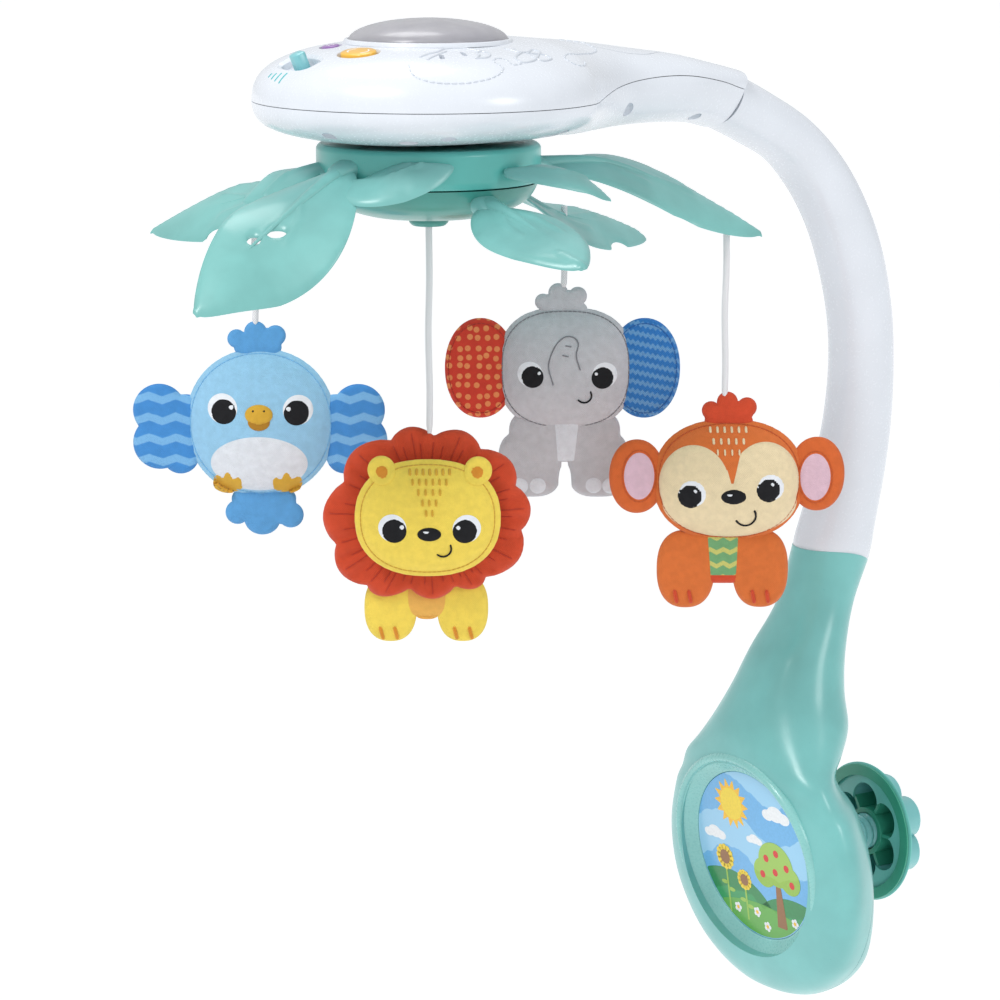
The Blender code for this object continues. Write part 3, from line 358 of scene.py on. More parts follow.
def plastic(name, colour, roughness=0.3, grain=0.06, coat=0.25):
    """Moulded plastic: a little uneven in colour and gloss, with fine moulding grain."""
    look = Look(name)
    cloud = look.noise(22.0)
    look.colour(look.mix(cloud.step(0.5, 0.5), shade(colour, 1.0 - grain), shade(colour, 1.0 + grain)))
    wear = look.noise(1.3, 4.0)
    look.set(Roughness=wear * 0.12 + (roughness - 0.06))
    look.set(Coat_Weight=coat, Coat_Roughness=0.18, Specular_IOR_Level=0.45)
    look.bump(look.noise(0.9, 2.0), 0.02, 0.15)
    return look.made


def metal(name, colour, roughness=0.35):
    """Plated metal with turning marks and small stains."""
    look = Look(name)
    look.colour(look.mix(look.noise(3.0).step(0.5, 0.4), shade(colour, 0.8), colour))
    look.set(Metallic=1.0, Roughness=look.noise(0.6) * 0.3 + (roughness - 0.15))
    look.bump((look.x * 9.0).sine() * 0.5 + look.noise(0.4), 0.03, 0.3)
    return look.made


def weave(look, pitch):
    """Height of a plain knit: rows of small loops."""
    turns = 2.0 * math.pi / pitch
    across = (look.x * turns + look.noise(2.0) * 1.5).sine()
    along = (look.z * turns * 0.8 + look.noise(2.6) * 1.5).sine()
    return across * along * 0.5 + look.noise(0.5, 2.0)


def fabric(name, colour, pitch=0.85, depth=0.2, fuzz=0.25, mottle=0.06, draw=None):
    """Knitted plush or printed cotton: stitch rows, uneven dye, painted shade in the dips between the loops,
    and a soft sheen.
    """
    look = Look(name)
    loops = weave(look, pitch)
    base = look.mix(look.noise(3.2, 5.0).step(0.5, 0.55), shade(colour, 1.0 - mottle),
                    shade(colour, 1.0 + mottle))
    if draw:
        base = draw(look, base)
    # Painted shade: where the loops dip, the colour darkens in fine random specks, as if shaded between the
    # stitches.
    base = look.mix(loops.step(0.1, 0.7), look.mix(look.noise(0.8).step(0.5, 0.3), shade(colour, 0.85), base),
                    base)
    look.colour(base)
    look.set(Roughness=look.noise(1.5) * 0.12 + 0.78)
    look.set(Sheen_Weight=fuzz, Sheen_Roughness=0.45, Specular_IOR_Level=0.2)
    look.bump(loops, depth, 0.75)
    return look.made


# ---------------------------------------------------------------- mesh tools

def smooth_row(points, steps):
    """Catmull-Rom row through arrays of any shape."""
    rows = [np.asarray(point, float) for point in points]
    ends = [2.0 * rows[0] - rows[1]] + rows + [2.0 * rows[-1] - rows[-2]]
    found = []
    for index in range(1, len(ends) - 2):
        before, start, finish, after = ends[index - 1:index + 3]
        for step in range(steps):
            t = step / steps
            found.append(0.5 * (2.0 * start + (finish - before) * t
                                + (2.0 * before - 5.0 * start + 4.0 * finish - after) * t ** 2
                                + (3.0 * start - before - 3.0 * finish + after) * t ** 3))
    found.append(rows[-1])
    return found


def superellipse(count, power):
    """Unit superellipse with its points spread evenly along the edge."""
    angles = np.linspace(0.0, 2.0 * math.pi, 721)[:-1]
    edge = np.stack([np.copysign(np.abs(np.cos(angles)) ** (2.0 / power), np.cos(angles)),
                     np.copysign(np.abs(np.sin(angles)) ** (2.0 / power), np.sin(angles))], 1)
    closed = np.vstack([edge, edge[:1]])
    run = np.concatenate([[0.0], np.cumsum(np.linalg.norm(np.diff(closed, axis=0), axis=1))])
    spots = np.linspace(0.0, run[-1], count + 1)[:-1]
    return np.stack([np.interp(spots, run, closed[:, 0]), np.interp(spots, run, closed[:, 1])], 1)


class Shape:
    """Points and faces of one mesh, in millimetres."""

    def __init__(self):
        self.points = []
        self.faces = []
        self.count = 0

    def add(self, points, faces):
        points = np.asarray(points, float)
        self.points.append(points)
        self.faces += [tuple(int(corner_) + self.count for corner_ in face) for face in faces]
        self.count += len(points)
        return self

    def mesh(self, name):
        mesh = bpy.data.meshes.new(name)
        mesh.from_pydata((np.vstack(self.points) * MM).tolist(), [], self.faces)
        work = bmesh.new()
        work.from_mesh(mesh)
        bmesh.ops.recalc_face_normals(work, faces=work.faces)
        work.to_mesh(mesh)
        work.free()
        return mesh


def loft(rings, closed=True):
    """Skin a row of equal rings."""
    shape = Shape()
    count = len(rings[0])
    faces = []
    for row in range(len(rings) - 1):
        for index in range(count):
            after = (index + 1) % count
            start = row * count
            faces.append((start + index, start + after, start + count + after, start + count + index))
    if closed:
        faces.append(tuple(range(count))[::-1])
        faces.append(tuple((len(rings) - 1) * count + index for index in range(count)))
    return shape.add(np.vstack(rings), faces)


def turned(profile, steps=96):
    """Turn a closed or pole-to-pole profile of (radius, height) about Z."""
    rings = []
    for radius, height in profile:
        angles = np.linspace(0.0, 2.0 * math.pi, steps + 1)[:-1]
        rings.append(np.stack([radius * np.cos(angles), radius * np.sin(angles), np.full(steps, height)], 1))
    return rings


def round_profile(points, radius=0.8, steps=4):
    """Profile with its inner corners rounded."""
    rows = [np.array(points[0], float)]
    for before, spot, after in zip(points, points[1:], points[2:]):
        before, spot, after = (np.array(item, float) for item in (before, spot, after))
        reach = min(radius, np.linalg.norm(before - spot) / 2.2, np.linalg.norm(after - spot) / 2.2)
        start = spot + (before - spot) / max(np.linalg.norm(before - spot), 1e-6) * reach
        finish = spot + (after - spot) / max(np.linalg.norm(after - spot), 1e-6) * reach
        for step in range(steps + 1):
            t = step / steps
            rows.append((1 - t) ** 2 * start + 2 * t * (1 - t) * spot + t * t * finish)
    rows.append(np.array(points[-1], float))
    return rows


def ring_solid(profile, steps=96):
    """Closed ring: the profile's last point joins its first."""
    rings = turned(profile, steps)
    shape = loft(rings + [rings[0]], closed=False)
    return shape


def welded(mesh):
    work = bmesh.new()
    work.from_mesh(mesh)
    bmesh.ops.remove_doubles(work, verts=work.verts, dist=0.000005)
    bmesh.ops.recalc_face_normals(work, faces=work.faces)
    work.to_mesh(mesh)
    work.free()
    return mesh


def make(name, shape, look, place=None, sharp=38.0, weld=False):
    """An object from a shape, in the row frame or at a matrix."""
    mesh = shape.mesh(name) if isinstance(shape, Shape) else shape
    if weld:
        welded(mesh)
    mesh.shade_smooth()
    mesh.set_sharp_from_angle(angle=math.radians(sharp))
    mesh.materials.append(look)
    item = bpy.data.objects.new(name, mesh)
    bpy.context.scene.collection.objects.link(item)
    if place is not None:
        item.matrix_world = place
    bpy.context.view_layer.update()
    return item


def finish(item, body, slot, *nodes):
    """Let a piece ride on its body and stand for its CAD nodes; the slot is not used."""
    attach(item, body)
    if nodes:
        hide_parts(*nodes)
    return item


def bake(item):
    """Apply every modifier."""
    bpy.context.view_layer.update()
    shape = item.evaluated_get(bpy.context.evaluated_depsgraph_get())
    mesh = bpy.data.meshes.new_from_object(shape)
    item.modifiers.clear()
    old = item.data
    item.data = mesh
    bpy.data.meshes.remove(old)


def cut(item, tools, sharp=38.0):
    """Take tools away from a piece and delete them."""
    for tool in tools:
        modifier = item.modifiers.new(tool.name, "BOOLEAN")
        modifier.operation = "DIFFERENCE"
        modifier.solver = "EXACT"
        modifier.object = tool
    bake(item)
    for tool in tools:
        bpy.data.objects.remove(tool, do_unlink=True)
    item.data.shade_smooth()
    item.data.set_sharp_from_angle(angle=math.radians(sharp))
    return item


def prism(outline, low, high):
    """Straight-sided solid on an outline in XY."""
    rings = [np.column_stack([outline, np.full(len(outline), height)]) for height in (low, high)]
    return loft(rings)


def ribbon(line, width, low, high):
    """Thin wall of a width that follows a line in XY."""
    line = np.asarray(line, float)
    along = np.gradient(line, axis=0)
    along /= np.linalg.norm(along, axis=1)[:, None]
    side = np.stack([-along[:, 1], along[:, 0]], 1) * width / 2.0
    return prism(np.vstack([line + side, (line - side)[::-1]]), low, high)


def frame_prism(outline, width, low, high):
    """Thin wall that follows a closed outline in XY."""
    middle = outline.mean(0)
    along = np.roll(outline, -1, axis=0) - np.roll(outline, 1, axis=0)
    along /= np.linalg.norm(along, axis=1)[:, None]
    side = np.stack([along[:, 1], -along[:, 0]], 1)
    side *= np.sign(((outline - middle) * side).sum(1))[:, None] * width / 2.0
    rings = [np.column_stack([outline + sign * side, np.full(len(outline), height)])
             for sign, height in ((1.0, low), (1.0, high), (-1.0, high), (-1.0, low))]
    return loft(rings + [rings[0]], closed=False)


def surface_of(item):
    """Tree of a piece's faces in its own frame, for laying things on it."""
    bpy.context.view_layer.update()
    shape = item.evaluated_get(bpy.context.evaluated_depsgraph_get())
    work = bmesh.new()
    work.from_mesh(shape.data)
    tree = BVHTree.FromBMesh(work)
    work.free()
    return tree


# ---------------------------------------------------------------- outlines: below 0 inside, about 1 per mm

def ellipse(x0, z0, half_x, half_z, power=2.0):
    scale = min(half_x, half_z)

    def field(x, z):
        reach = (np.abs((x - x0) / half_x) ** power + np.abs((z - z0) / half_z) ** power) ** (1.0 / power)
        return (reach - 1.0) * scale
    return field


def polygon(points):
    points = np.asarray(points, float)

    def field(x, z):
        spots = np.stack([x, z], -1)
        nearest = np.full(x.shape, 1e9)
        inside = np.zeros(x.shape, bool)
        for start, end in zip(points, np.roll(points, -1, axis=0)):
            edge = end - start
            share = np.clip(((spots - start) @ edge) / max(edge @ edge, 1e-9), 0.0, 1.0)
            gap = np.linalg.norm(spots - start - share[..., None] * edge, axis=-1)
            nearest = np.minimum(nearest, gap)
            crosses = (start[1] > z) != (end[1] > z)
            rise = np.where(end[1] == start[1], 1e-9, end[1] - start[1])
            inside ^= crosses & (x < (end[0] - start[0]) * (z - start[1]) / rise + start[0])
        return np.where(inside, -nearest, nearest)
    return field


def union(*fields):
    return lambda x, z: np.minimum.reduce([field(x, z) for field in fields])


def common(*fields):
    return lambda x, z: np.maximum.reduce([field(x, z) for field in fields])


def without(field, *holes):
    return lambda x, z: np.maximum.reduce([field(x, z)] + [-hole(x, z) for hole in holes])


def cells(field, box, step):
    """Square cells inside an outline, with the outer points moved onto it.

    Gives points, quads and the edge mask.
    """
    xs = np.arange(box[0] - step, box[2] + 2.0 * step, step)
    zs = np.arange(box[1] - step, box[3] + 2.0 * step, step)
    x, z = np.meshgrid(xs, zs, indexing="ij")
    inside = field(x, z) < 0.35 * step
    keep = inside[:-1, :-1] & inside[1:, :-1] & inside[:-1, 1:] & inside[1:, 1:]
    around = np.zeros(x.shape, int)
    for shift_x in (0, 1):
        for shift_z in (0, 1):
            around[shift_x:shift_x + keep.shape[0], shift_z:shift_z + keep.shape[1]] += keep
    used = around > 0
    number = np.cumsum(used.ravel()).reshape(used.shape) - 1
    rows, columns = np.nonzero(keep)
    quads = np.stack([number[rows, columns], number[rows + 1, columns], number[rows + 1, columns + 1],
                      number[rows, columns + 1]], 1)
    points = np.stack([x[used], z[used]], 1)
    edge = around[used] < 4
    moved = points[edge].copy()
    start = moved.copy()
    nudge = 0.05
    for _ in range(6):
        value = field(moved[:, 0], moved[:, 1])
        slope = np.stack([(field(moved[:, 0] + nudge, moved[:, 1]) - value) / nudge,
                          (field(moved[:, 0], moved[:, 1] + nudge) - value) / nudge], 1)
        push = -slope * (value / np.maximum((slope ** 2).sum(1), 0.15))[:, None]
        length = np.linalg.norm(push, axis=1)[:, None]
        moved += push * np.minimum(1.0, 0.5 * step / np.maximum(length, 1e-9))
    drift = moved - start
    length = np.linalg.norm(drift, axis=1)[:, None]
    points[edge] = start + drift * np.minimum(1.0, 1.2 * step / np.maximum(length, 1e-9))
    return points, quads, edge


def from_edge(points, edge):
    """Distance of each point from the outline's points."""
    rim = points[edge]
    return np.array([np.sqrt(((rim - point) ** 2).sum(1)).min() for point in points])


def slab(front, back, quads):
    """Closed solid between two equal layers of points."""
    count = len(front)
    faces = [tuple(quad) for quad in quads]
    faces += [tuple(corner_ + count for corner_ in quad[::-1]) for quad in quads]
    edges = {}
    for quad in quads:
        for start, end in zip(quad, np.roll(quad, -1)):
            key = (int(start), int(end))
            if (key[1], key[0]) in edges:
                del edges[(key[1], key[0])]
            else:
                edges[key] = True
    faces += [(end, start, start + count, end + count) for start, end in edges]
    return Shape().add(np.vstack([front, back]), faces)


def layer(points, height):
    """Points of an outline's plane with a depth along Y."""
    return np.column_stack([points[:, 0], np.broadcast_to(height, len(points)), points[:, 1]])


# ---------------------------------------------------------------- base

def base_rings():
    rings = []
    for height, half, near, far, power, taper in BASE_SECTIONS:
        middle = (near + far) / 2.0
        depth = (far - near) / 2.0
        outline = superellipse(BASE_SIDES, power)
        rings.append(np.column_stack([half * outline[:, 0] * (1.0 - taper * outline[:, 1]),
                                      middle + depth * outline[:, 1], np.full(BASE_SIDES, height)]))
    circle = superellipse(BASE_SIDES, 2.0) * NECK_RADIUS
    lean = np.array(Matrix.Rotation(-NECK_LEAN, 3, "X"))
    flat = np.column_stack([circle, 1.6 * np.cos(2.0 * np.arctan2(circle[:, 1], circle[:, 0]))])
    rings.append(flat @ lean.T + np.array((0.0, *NECK_TOP)))
    fine = smooth_row(rings, 6)
    middle = fine[0].mean(0)
    foot = [middle + (fine[0] - middle) * share - np.array((0.0, 0.0, drop))
            for share, drop in ((0.35, 1.0), (0.75, 0.8))]
    return foot + fine


def face_frame(depth=0.0):
    """Matrix whose Z axis is the picture's outward normal."""
    stand = Matrix.Rotation(math.radians(90.0) + FACE_TILT, 4, "X")
    centre = Matrix.Translation((0.0, PICTURE_CENTRE[0] * MM, PICTURE_CENTRE[1] * MM))
    return centre @ stand @ Matrix.Translation((0.0, 0.0, depth * MM))


def make_base(teal, lit_rim_look):
    base = make("base_body", loft(base_rings()), teal)
    recess = make("recess", loft(turned(((RECESS_RADIUS, -1.2), (RECESS_RADIUS, 40.0)))), teal, face_frame())
    well = make("pad_seat", loft(turned(((24.3, -5.3), (24.3, 30.0)))), teal,
                Matrix.Rotation(math.radians(-90.0), 4, "X"))
    bore = make("stud_hole", loft(turned(((STUD_RADIUS + 0.6, -12.0), (STUD_RADIUS + 0.6, 30.0)), 48)), teal,
                Matrix.Translation((0.0, 0.0, STUD_HEIGHT * MM)) @ Matrix.Rotation(math.radians(-90.0), 4,
                                                                                   "X"))
    tools = [recess, well, bore]
    for x, z in ((-30.0, -59.0), (30.0, -59.0), (0.0, 45.0)):
        tools.append(make("screw_well", loft(turned(((3.6, -9.0), (3.6, 30.0)), 32)), teal,
                          Matrix.Translation((x * MM, 0.0, z * MM)) @ Matrix.Rotation(math.radians(-90.0), 4,
                                                                                      "X")))
    half = SEAM_WIDTH / 2.0
    sheet = loft([np.array([(-90.0, -half, z), (90.0, -half, z), (90.0, half, z), (-90.0, half, z)])
                  for z in (-120.0, 122.0)])
    lean = Matrix.Translation((0.0, SPLIT_Y * MM, SPLIT_HEIGHT * MM)) @ Matrix.Rotation(-SPLIT_LEAN, 4, "X")
    tools.append(make("split", sheet, teal, lean))
    cut(base, tools)
    finish(base, "stand", "teal", "base_front_shell", "base_back_shell")

    # Painted highlight: the rim is the base's plastic drawn in a lighter teal.
    rim = make("picture_rim", ring_solid(smooth_row(RIM_PROFILE, 4)), lit_rim_look, face_frame(), weld=True)
    finish(rim, "stand", "teal")


# ---------------------------------------------------------------- clamp

def flower(radius, lobe, count=180):
    angles = np.linspace(0.0, 2.0 * math.pi, count + 1)[:-1]
    reach = radius - lobe + 2.0 * lobe * np.abs(np.sin(angles * GRIP_LOBES / 2.0)) ** 0.7
    return np.stack([reach * np.cos(angles), reach * np.sin(angles)], 1)


def make_clamp(teal, dark, lit_flange_look):
    """Threaded stud, pressing ring and the knob with its ribbed flower grip."""
    stand = Matrix.Translation((0.0, 0.0, STUD_HEIGHT * MM)) @ Matrix.Rotation(math.radians(-90.0), 4, "X")
    end = corner("clamp_stud", 1, 1)
    turns = 40
    rows = []
    start = 1.0
    steps = int((end - 3.0 - start) / THREAD_PITCH * turns)
    angles = np.linspace(0.0, 2.0 * math.pi, turns + 1)[:-1]
    for step in range(steps // 3 + 1):
        height = start + (end - start) * step / (steps // 3)
        wave = 0.5 + 0.5 * np.cos(2.0 * math.pi * height / THREAD_PITCH - angles)
        fade = min(1.0, (end - height) / 2.0 + 0.2)
        reach = STUD_RADIUS - 1.2 + 1.2 * wave ** 0.6 * fade
        rows.append(np.stack([reach * np.cos(angles), reach * np.sin(angles), np.full(turns, height)], 1))
    shank = [np.stack([9.0 * np.cos(angles), 9.0 * np.sin(angles), np.full(turns, z)], 1) for z in (-10.0,
                                                                                                    0.8)]
    stud = make("stud", loft(shank + rows), teal, stand)
    finish(stud, "stand", "teal", "clamp_stud")

    face = corner("clamp_ring", 0, 1)
    back = corner("clamp_ring", 1, 1)
    profile = [(28.2, face), (33.7, face), (33.7, back), (28.2, back)]
    ring = make("pressing_ring", ring_solid(round_profile(profile + [profile[0]], 0.3)), dark, stand,
                weld=True)
    finish(ring, "clamp_ring", "dark_teal", "clamp_ring")

    low = corner("clamp_knob", 0, 1)
    wall = 2.2
    count = 180

    def petalled(radius, height):
        return np.column_stack([flower(radius, GRIP_LOBE, count), np.full(count, height)])

    def circular(radius, height):
        return np.column_stack([superellipse(count, 2.0) * radius, np.full(count, height)])

    rows = [petalled(GRIP_RADIUS - wall, low), circular(FLANGE_RADIUS - 0.8, low),
            circular(FLANGE_RADIUS, low + 0.6),
            circular(FLANGE_RADIUS, FLANGE_BACK - 0.5), circular(FLANGE_RADIUS - 0.8, FLANGE_BACK),
            petalled(GRIP_RADIUS - wall, FLANGE_BACK)]
    # The flange's lighter teal is painted light, making up for the shade it sits in.
    flange = make("knob_flange", loft(rows + [rows[0]], closed=False), lit_flange_look, stand, weld=True)
    finish(flange, "clamp_knob", "teal")
    rows = [petalled(GRIP_RADIUS - wall, FLANGE_BACK - 0.4), petalled(GRIP_RADIUS + 0.6, FLANGE_BACK - 0.4),
            petalled(GRIP_RADIUS, FLANGE_BACK + 1.0), petalled(GRIP_RADIUS, GRIP_BACK - 1.6),
            petalled(GRIP_RADIUS - 0.5, GRIP_BACK - 0.5), petalled(GRIP_RADIUS - 1.6, GRIP_BACK),
            circular(STUD_RADIUS + 0.4, GRIP_BACK), circular(STUD_RADIUS + 0.4, GRIP_BACK - wall),
            petalled(GRIP_RADIUS - wall - 0.8, GRIP_BACK - wall),
            petalled(GRIP_RADIUS - wall, GRIP_BACK - wall - 0.8)]
    grip = make("knob_grip", loft(rows + [rows[0]], closed=False), teal, stand, weld=True)
    finish(grip, "clamp_knob", "teal", "clamp_knob")
    # The boss and ribs are dark as painted shade in the knob's hollow.
    boss = [(STUD_RADIUS + 0.4, low + 0.6), (STUD_RADIUS + 2.8, low + 0.6),
            (STUD_RADIUS + 2.4, GRIP_BACK - 1.0),
            (STUD_RADIUS + 0.4, GRIP_BACK - 1.0)]
    collar = make("knob_boss", ring_solid(round_profile(boss + [boss[0]], 0.4)), dark, stand, weld=True)
    finish(collar, "clamp_knob", "teal")
    ribs = Shape()
    for index in range(GRIP_LOBES):
        angle = math.radians(60.0 * index)
        turn = np.array(Matrix.Rotation(angle, 3, "Z"))
        reach = GRIP_RADIUS - GRIP_LOBE - 1.4
        outline = np.array(((STUD_RADIUS + 2.0, -0.9), (reach, -0.7), (reach, 0.7), (STUD_RADIUS + 2.0, 0.9)))
        rings = [np.column_stack([outline, np.full(4, z)]) @ turn.T for z in (FLANGE_BACK - 0.2,
                                                                              GRIP_BACK - 2.0)]
        block = loft(rings)
        ribs.add(np.vstack(block.points), block.faces)
    finish(make("knob_ribs", ribs, dark, stand), "clamp_knob", "teal")


# ---------------------------------------------------------------- arm and head

def make_arm(white):
    rows = smooth_row(ARM_SECTIONS, 8)
    outline = superellipse(72, 2.2)
    rings = []
    for index, row in enumerate(rows):
        before = rows[max(index - 1, 0)]
        after = rows[min(index + 1, len(rows) - 1)]
        along = Vector((0.0, after[0] - before[0], after[1] - before[1])).normalized()
        across = np.array((0.0, -along.z, along.y))
        centre = np.array((0.0, row[0], row[1]))
        rings.append(centre + np.outer(outline[:, 0] * row[3],
                                       (1.0, 0.0, 0.0)) + np.outer(outline[:, 1] * row[2], across))
    arm = make("arm", loft(rings), white)
    finish(arm, "stand", "white", "arm_tube")


def head_top(radius):
    share = min(abs(radius) / HEAD_RADIUS, 0.99995)
    return HEAD_SEAM + (HEAD_TOP - HEAD_SEAM) * (1.0 - share ** 2.5) ** 0.4


def head_bottom(radius):
    share = min(abs(radius) / HEAD_RADIUS, 0.99995)
    return HEAD_SEAM - (HEAD_SEAM - HEAD_BOTTOM) * (1.0 - share ** 3.0) ** 0.34


def head_rows():
    """Y, half width, top, bottom and lean of the sections along the head."""
    rows = []
    for degrees in (2.0, 4.0, 7.0, 10.0, 14.0, 18.0, 22.0) + tuple(np.linspace(27.0, 126.0, 30)):
        reach = HEAD_RADIUS * math.cos(math.radians(degrees))
        half = HEAD_RADIUS * math.sin(math.radians(degrees))
        top = head_top(reach)
        if reach < 0.0:
            top = max(top, HEAD_TOP - 1.6 * (reach / HEAD_RADIUS) ** 2)
        rows.append((HUB_Y - reach, half, top, head_bottom(reach), 0.0))
    return rows + smooth_row([rows[-1]] + list(HEAD_NECK), 7)[1:]


def head_shape():
    rings = []
    outline = superellipse(112, HEAD_POWER)
    for y, half, top, bottom, lean in head_rows():
        reach = np.where(outline[:, 1] > 0.0, top - HEAD_SEAM, HEAD_SEAM - bottom)
        height = HEAD_SEAM + reach * outline[:, 1]
        rings.append(np.column_stack([half * outline[:, 0], y + lean * (height - NECK_MIDDLE), height]))
    return loft(rings)


def seam_sheet():
    """Thin sheet between the upper and lower shells: flat round the head and raised along the neck."""
    ys = np.linspace(-330.0, -60.0, 90)
    known = np.array(smooth_row(NECK_SEAM, 8))
    zs = HEAD_SEAM + np.interp(ys, known[:, 0], known[:, 1])
    rings = []
    for y, z in zip(ys, zs):
        half = SEAM_WIDTH / 2.0
        rings.append(np.array([(-90.0, y, z - half), (90.0, y, z - half), (90.0, y, z + half),
                               (-90.0, y, z + half)]))
    return loft(rings)


def door_line():
    """Outline of the battery door, seen from above."""
    half = 19.0
    side = [(half, -170.0), (half, -152.0), (half - 0.6, -138.0), (half - 3.6, -126.0), (5.0, -110.0),
            (0.0, -106.0)]
    right = np.array(smooth_row(side, 6))
    left = right[::-1] * np.array((-1.0, 1.0))
    return np.vstack([[(0.0, -171.5)], right, left[1:]])


def on_head(x, y, sink=0.0):
    """Matrix with Z along the normal of the head's round top at (x, y)."""
    radius = math.hypot(x, y - HUB_Y)
    slope = head_top(radius + 0.5) - head_top(radius - 0.5)
    outward = Vector((x, y - HUB_Y, 0.0)).normalized()
    normal = (Vector((0.0, 0.0, 1.0)) - outward * slope).normalized()
    across = Vector((0.0, 0.0, 1.0)).cross(outward)
    turn = Matrix((across, normal.cross(across), normal)).transposed().to_4x4()
    return Matrix.Translation((x * MM, y * MM, head_top(radius) * MM)) @ turn @ Matrix.Translation((0, 0,
            sink * MM))


def oval_prism(half_x, half_y, low, high, power=2.0, flare=0.0):
    outline = superellipse(64, power)
    rings = []
    for height, grow in ((low, 0.0), (-1.6, 0.0), (0.0, flare), (high, flare * 3.0)):
        rings.append(np.column_stack([outline[:, 0] * (half_x + grow), outline[:, 1] * (half_y + grow),
                                      np.full(64, height)]))
    return loft(rings)


PLAY = (15.0, -282.0)
MODE = (-15.0, -277.0)
SWITCH = (-6.7, -298.0)
HEAD_SCREWS = tuple("head_screw_%d" % number for number in (1, 2, 3, 4))
SIDE_RECESSES = ((23.4, -302.0, 345.7), (59.0, -265.6, 344.7), (59.0, -206.4, 344.6), (30.0, -149.6, 349.6),
                 (-23.4, -302.0, 345.7), (-59.0, -265.6, 344.7), (-59.0, -206.4, 344.6),
                 (-30.0, -149.6, 349.6),
                 (16.4, -101.2, 343.2), (-16.4, -101.2, 343.2))


def around(radius, degrees):
    angle = math.radians(degrees)
    return (radius * math.cos(angle), HUB_Y + radius * math.sin(angle))


def screw_place(node):
    """Matrix on the axis of a head screw, at the height of the frame's origin."""
    middle = [(corner(node, 0, axis) + corner(node, 1, axis)) / 2.0 * MM for axis in (0, 1)]
    return Matrix.Translation((middle[0], middle[1], 0.0))


def oval_bar(half_x, half_y, low, high):
    outline = superellipse(24, 6.0) * np.array((half_x, half_y))
    return prism(outline, low, high)


def make_head_screws(steel):
    """Pan-head screws with a cross recess, seated in the lower shell's wells."""
    for node in HEAD_SCREWS:
        profile = [(0.05, 347.2), (3.3, 347.2), (3.3, 345.6), (2.6, 344.6), (1.2, 344.2), (0.05, 344.1)]
        screw = make(node.replace("head_screw", "pan_screw"), loft(turned(round_profile(profile, 0.4), 40)),
                     steel,
                     screw_place(node))
        bars = []
        for index, (half_x, half_y) in enumerate(((1.9, 0.36), (0.36, 1.9))):
            bars.append(make("cross_%d" % index, oval_bar(half_x, half_y, 343.0, 345.3), steel,
                             screw_place(node)))
        cut(screw, bars)
        finish(screw, "stand", "steel", node)


def make_head(white):
    head = make("head", head_shape(), white)
    tools = [make("seam", seam_sheet(), white)]
    tools.append(make("door", frame_prism(door_line(), 0.45, 362.0, 400.0), white, weld=True))
    tools.append(make("dome_hole", loft(turned(((DOME_RADIUS + 0.5, 370.0), (DOME_RADIUS + 0.5, 379.6),
                                                 (DOME_RADIUS + 2.2, 383.5)))), white,
                      Matrix.Translation((0.0, HUB_Y * MM, 0.0))))
    tools.append(make("play_well", oval_prism(9.5, 7.2, -8.0, 6.0, flare=1.0), white, on_head(*PLAY)))
    tools.append(make("mode_well", oval_prism(6.5, 4.5, -8.0, 6.0, flare=0.6), white, on_head(*MODE)))
    tools.append(make("switch_well", oval_prism(13.0, 6.0, -4.4, 8.0, 3.0, flare=2.4), white,
                      on_head(*SWITCH)))
    for radius, degrees in ((52.2, -27.6), (48.2, -15.6)):
        tools.append(make("speaker_slot", oval_prism(1.1, 2.9, -3.0, 5.0, 4.0), white,
                          on_head(*around(radius, degrees))))
    for x, y, z in SIDE_RECESSES:
        well = loft(turned([(max(3.5 * math.sin(angle), 0.02), z - 3.5 * math.cos(angle))
                            for angle in np.linspace(0.0, math.pi, 15)], 40))
        tools.append(make("side_recess", well, white, Matrix.Translation((x * MM, y * MM, 0.0))))
    for node in HEAD_SCREWS:
        well = loft(turned(((4.6, 320.0), (4.4, 343.0), (4.2, 347.0)), 40))
        tools.append(make("screw_well", well, white, screw_place(node)))
    cut(head, tools, 32.0)
    finish(head, "stand", "white", "head_upper_shell", "head_lower_shell", "battery_door")
    return head


def make_dome(clear, dim):
    """Light dome with a rounded foot over the dark pattern film."""
    rise = DOME_TOP - HEAD_TOP + 0.5
    outer = [(max(DOME_RADIUS * math.sin(a), 0.02), HEAD_TOP - 0.5 + rise * math.cos(a))
             for a in np.linspace(0.0, math.pi / 2.0, 22)]
    inner = [(max((DOME_RADIUS - 1.8) * math.sin(a), 0.02), HEAD_TOP - 0.5 + (rise - 1.5) * math.cos(a))
             for a in np.linspace(math.pi / 2.0, 0.0, 22)]
    place = Matrix.Translation((0.0, HUB_Y * MM, 0.0))
    rows = outer + [(DOME_RADIUS, 379.0), (DOME_RADIUS - 1.8, 379.0)] + inner
    dome = make("dome", loft(turned(rows)), clear, place)
    finish(dome, "stand", "dome", "dome_lens")
    lip = [(DOME_RADIUS + 0.2, HEAD_TOP - 1.6), (DOME_RADIUS + 0.2, HEAD_TOP + 0.3),
           (DOME_RADIUS + 1.6, HEAD_TOP + 0.2),
           (DOME_RADIUS + 2.6, HEAD_TOP - 1.8)]
    ring = make("dome_lip", ring_solid(round_profile(lip + [lip[0]], 0.5)), dim, place, weld=True)
    finish(ring, "stand", "white")


def rounded_puck(half_x, half_y, low, high, power=2.0, edge=0.7):
    outline = superellipse(72, power)
    rings = []
    for height, shrink in ((low, 0.0), (high - edge, 0.0), (high - edge * 0.4, edge * 0.25), (high, edge),
                           (high + 0.18, half_x * 0.55), (high + 0.22, half_x * 0.8)):
        share = 1.0 - shrink / half_x
        rings.append(np.column_stack([outline[:, 0] * half_x * share, outline[:, 1] * half_y * share,
                                      np.full(72, height)]))
    return loft(rings)


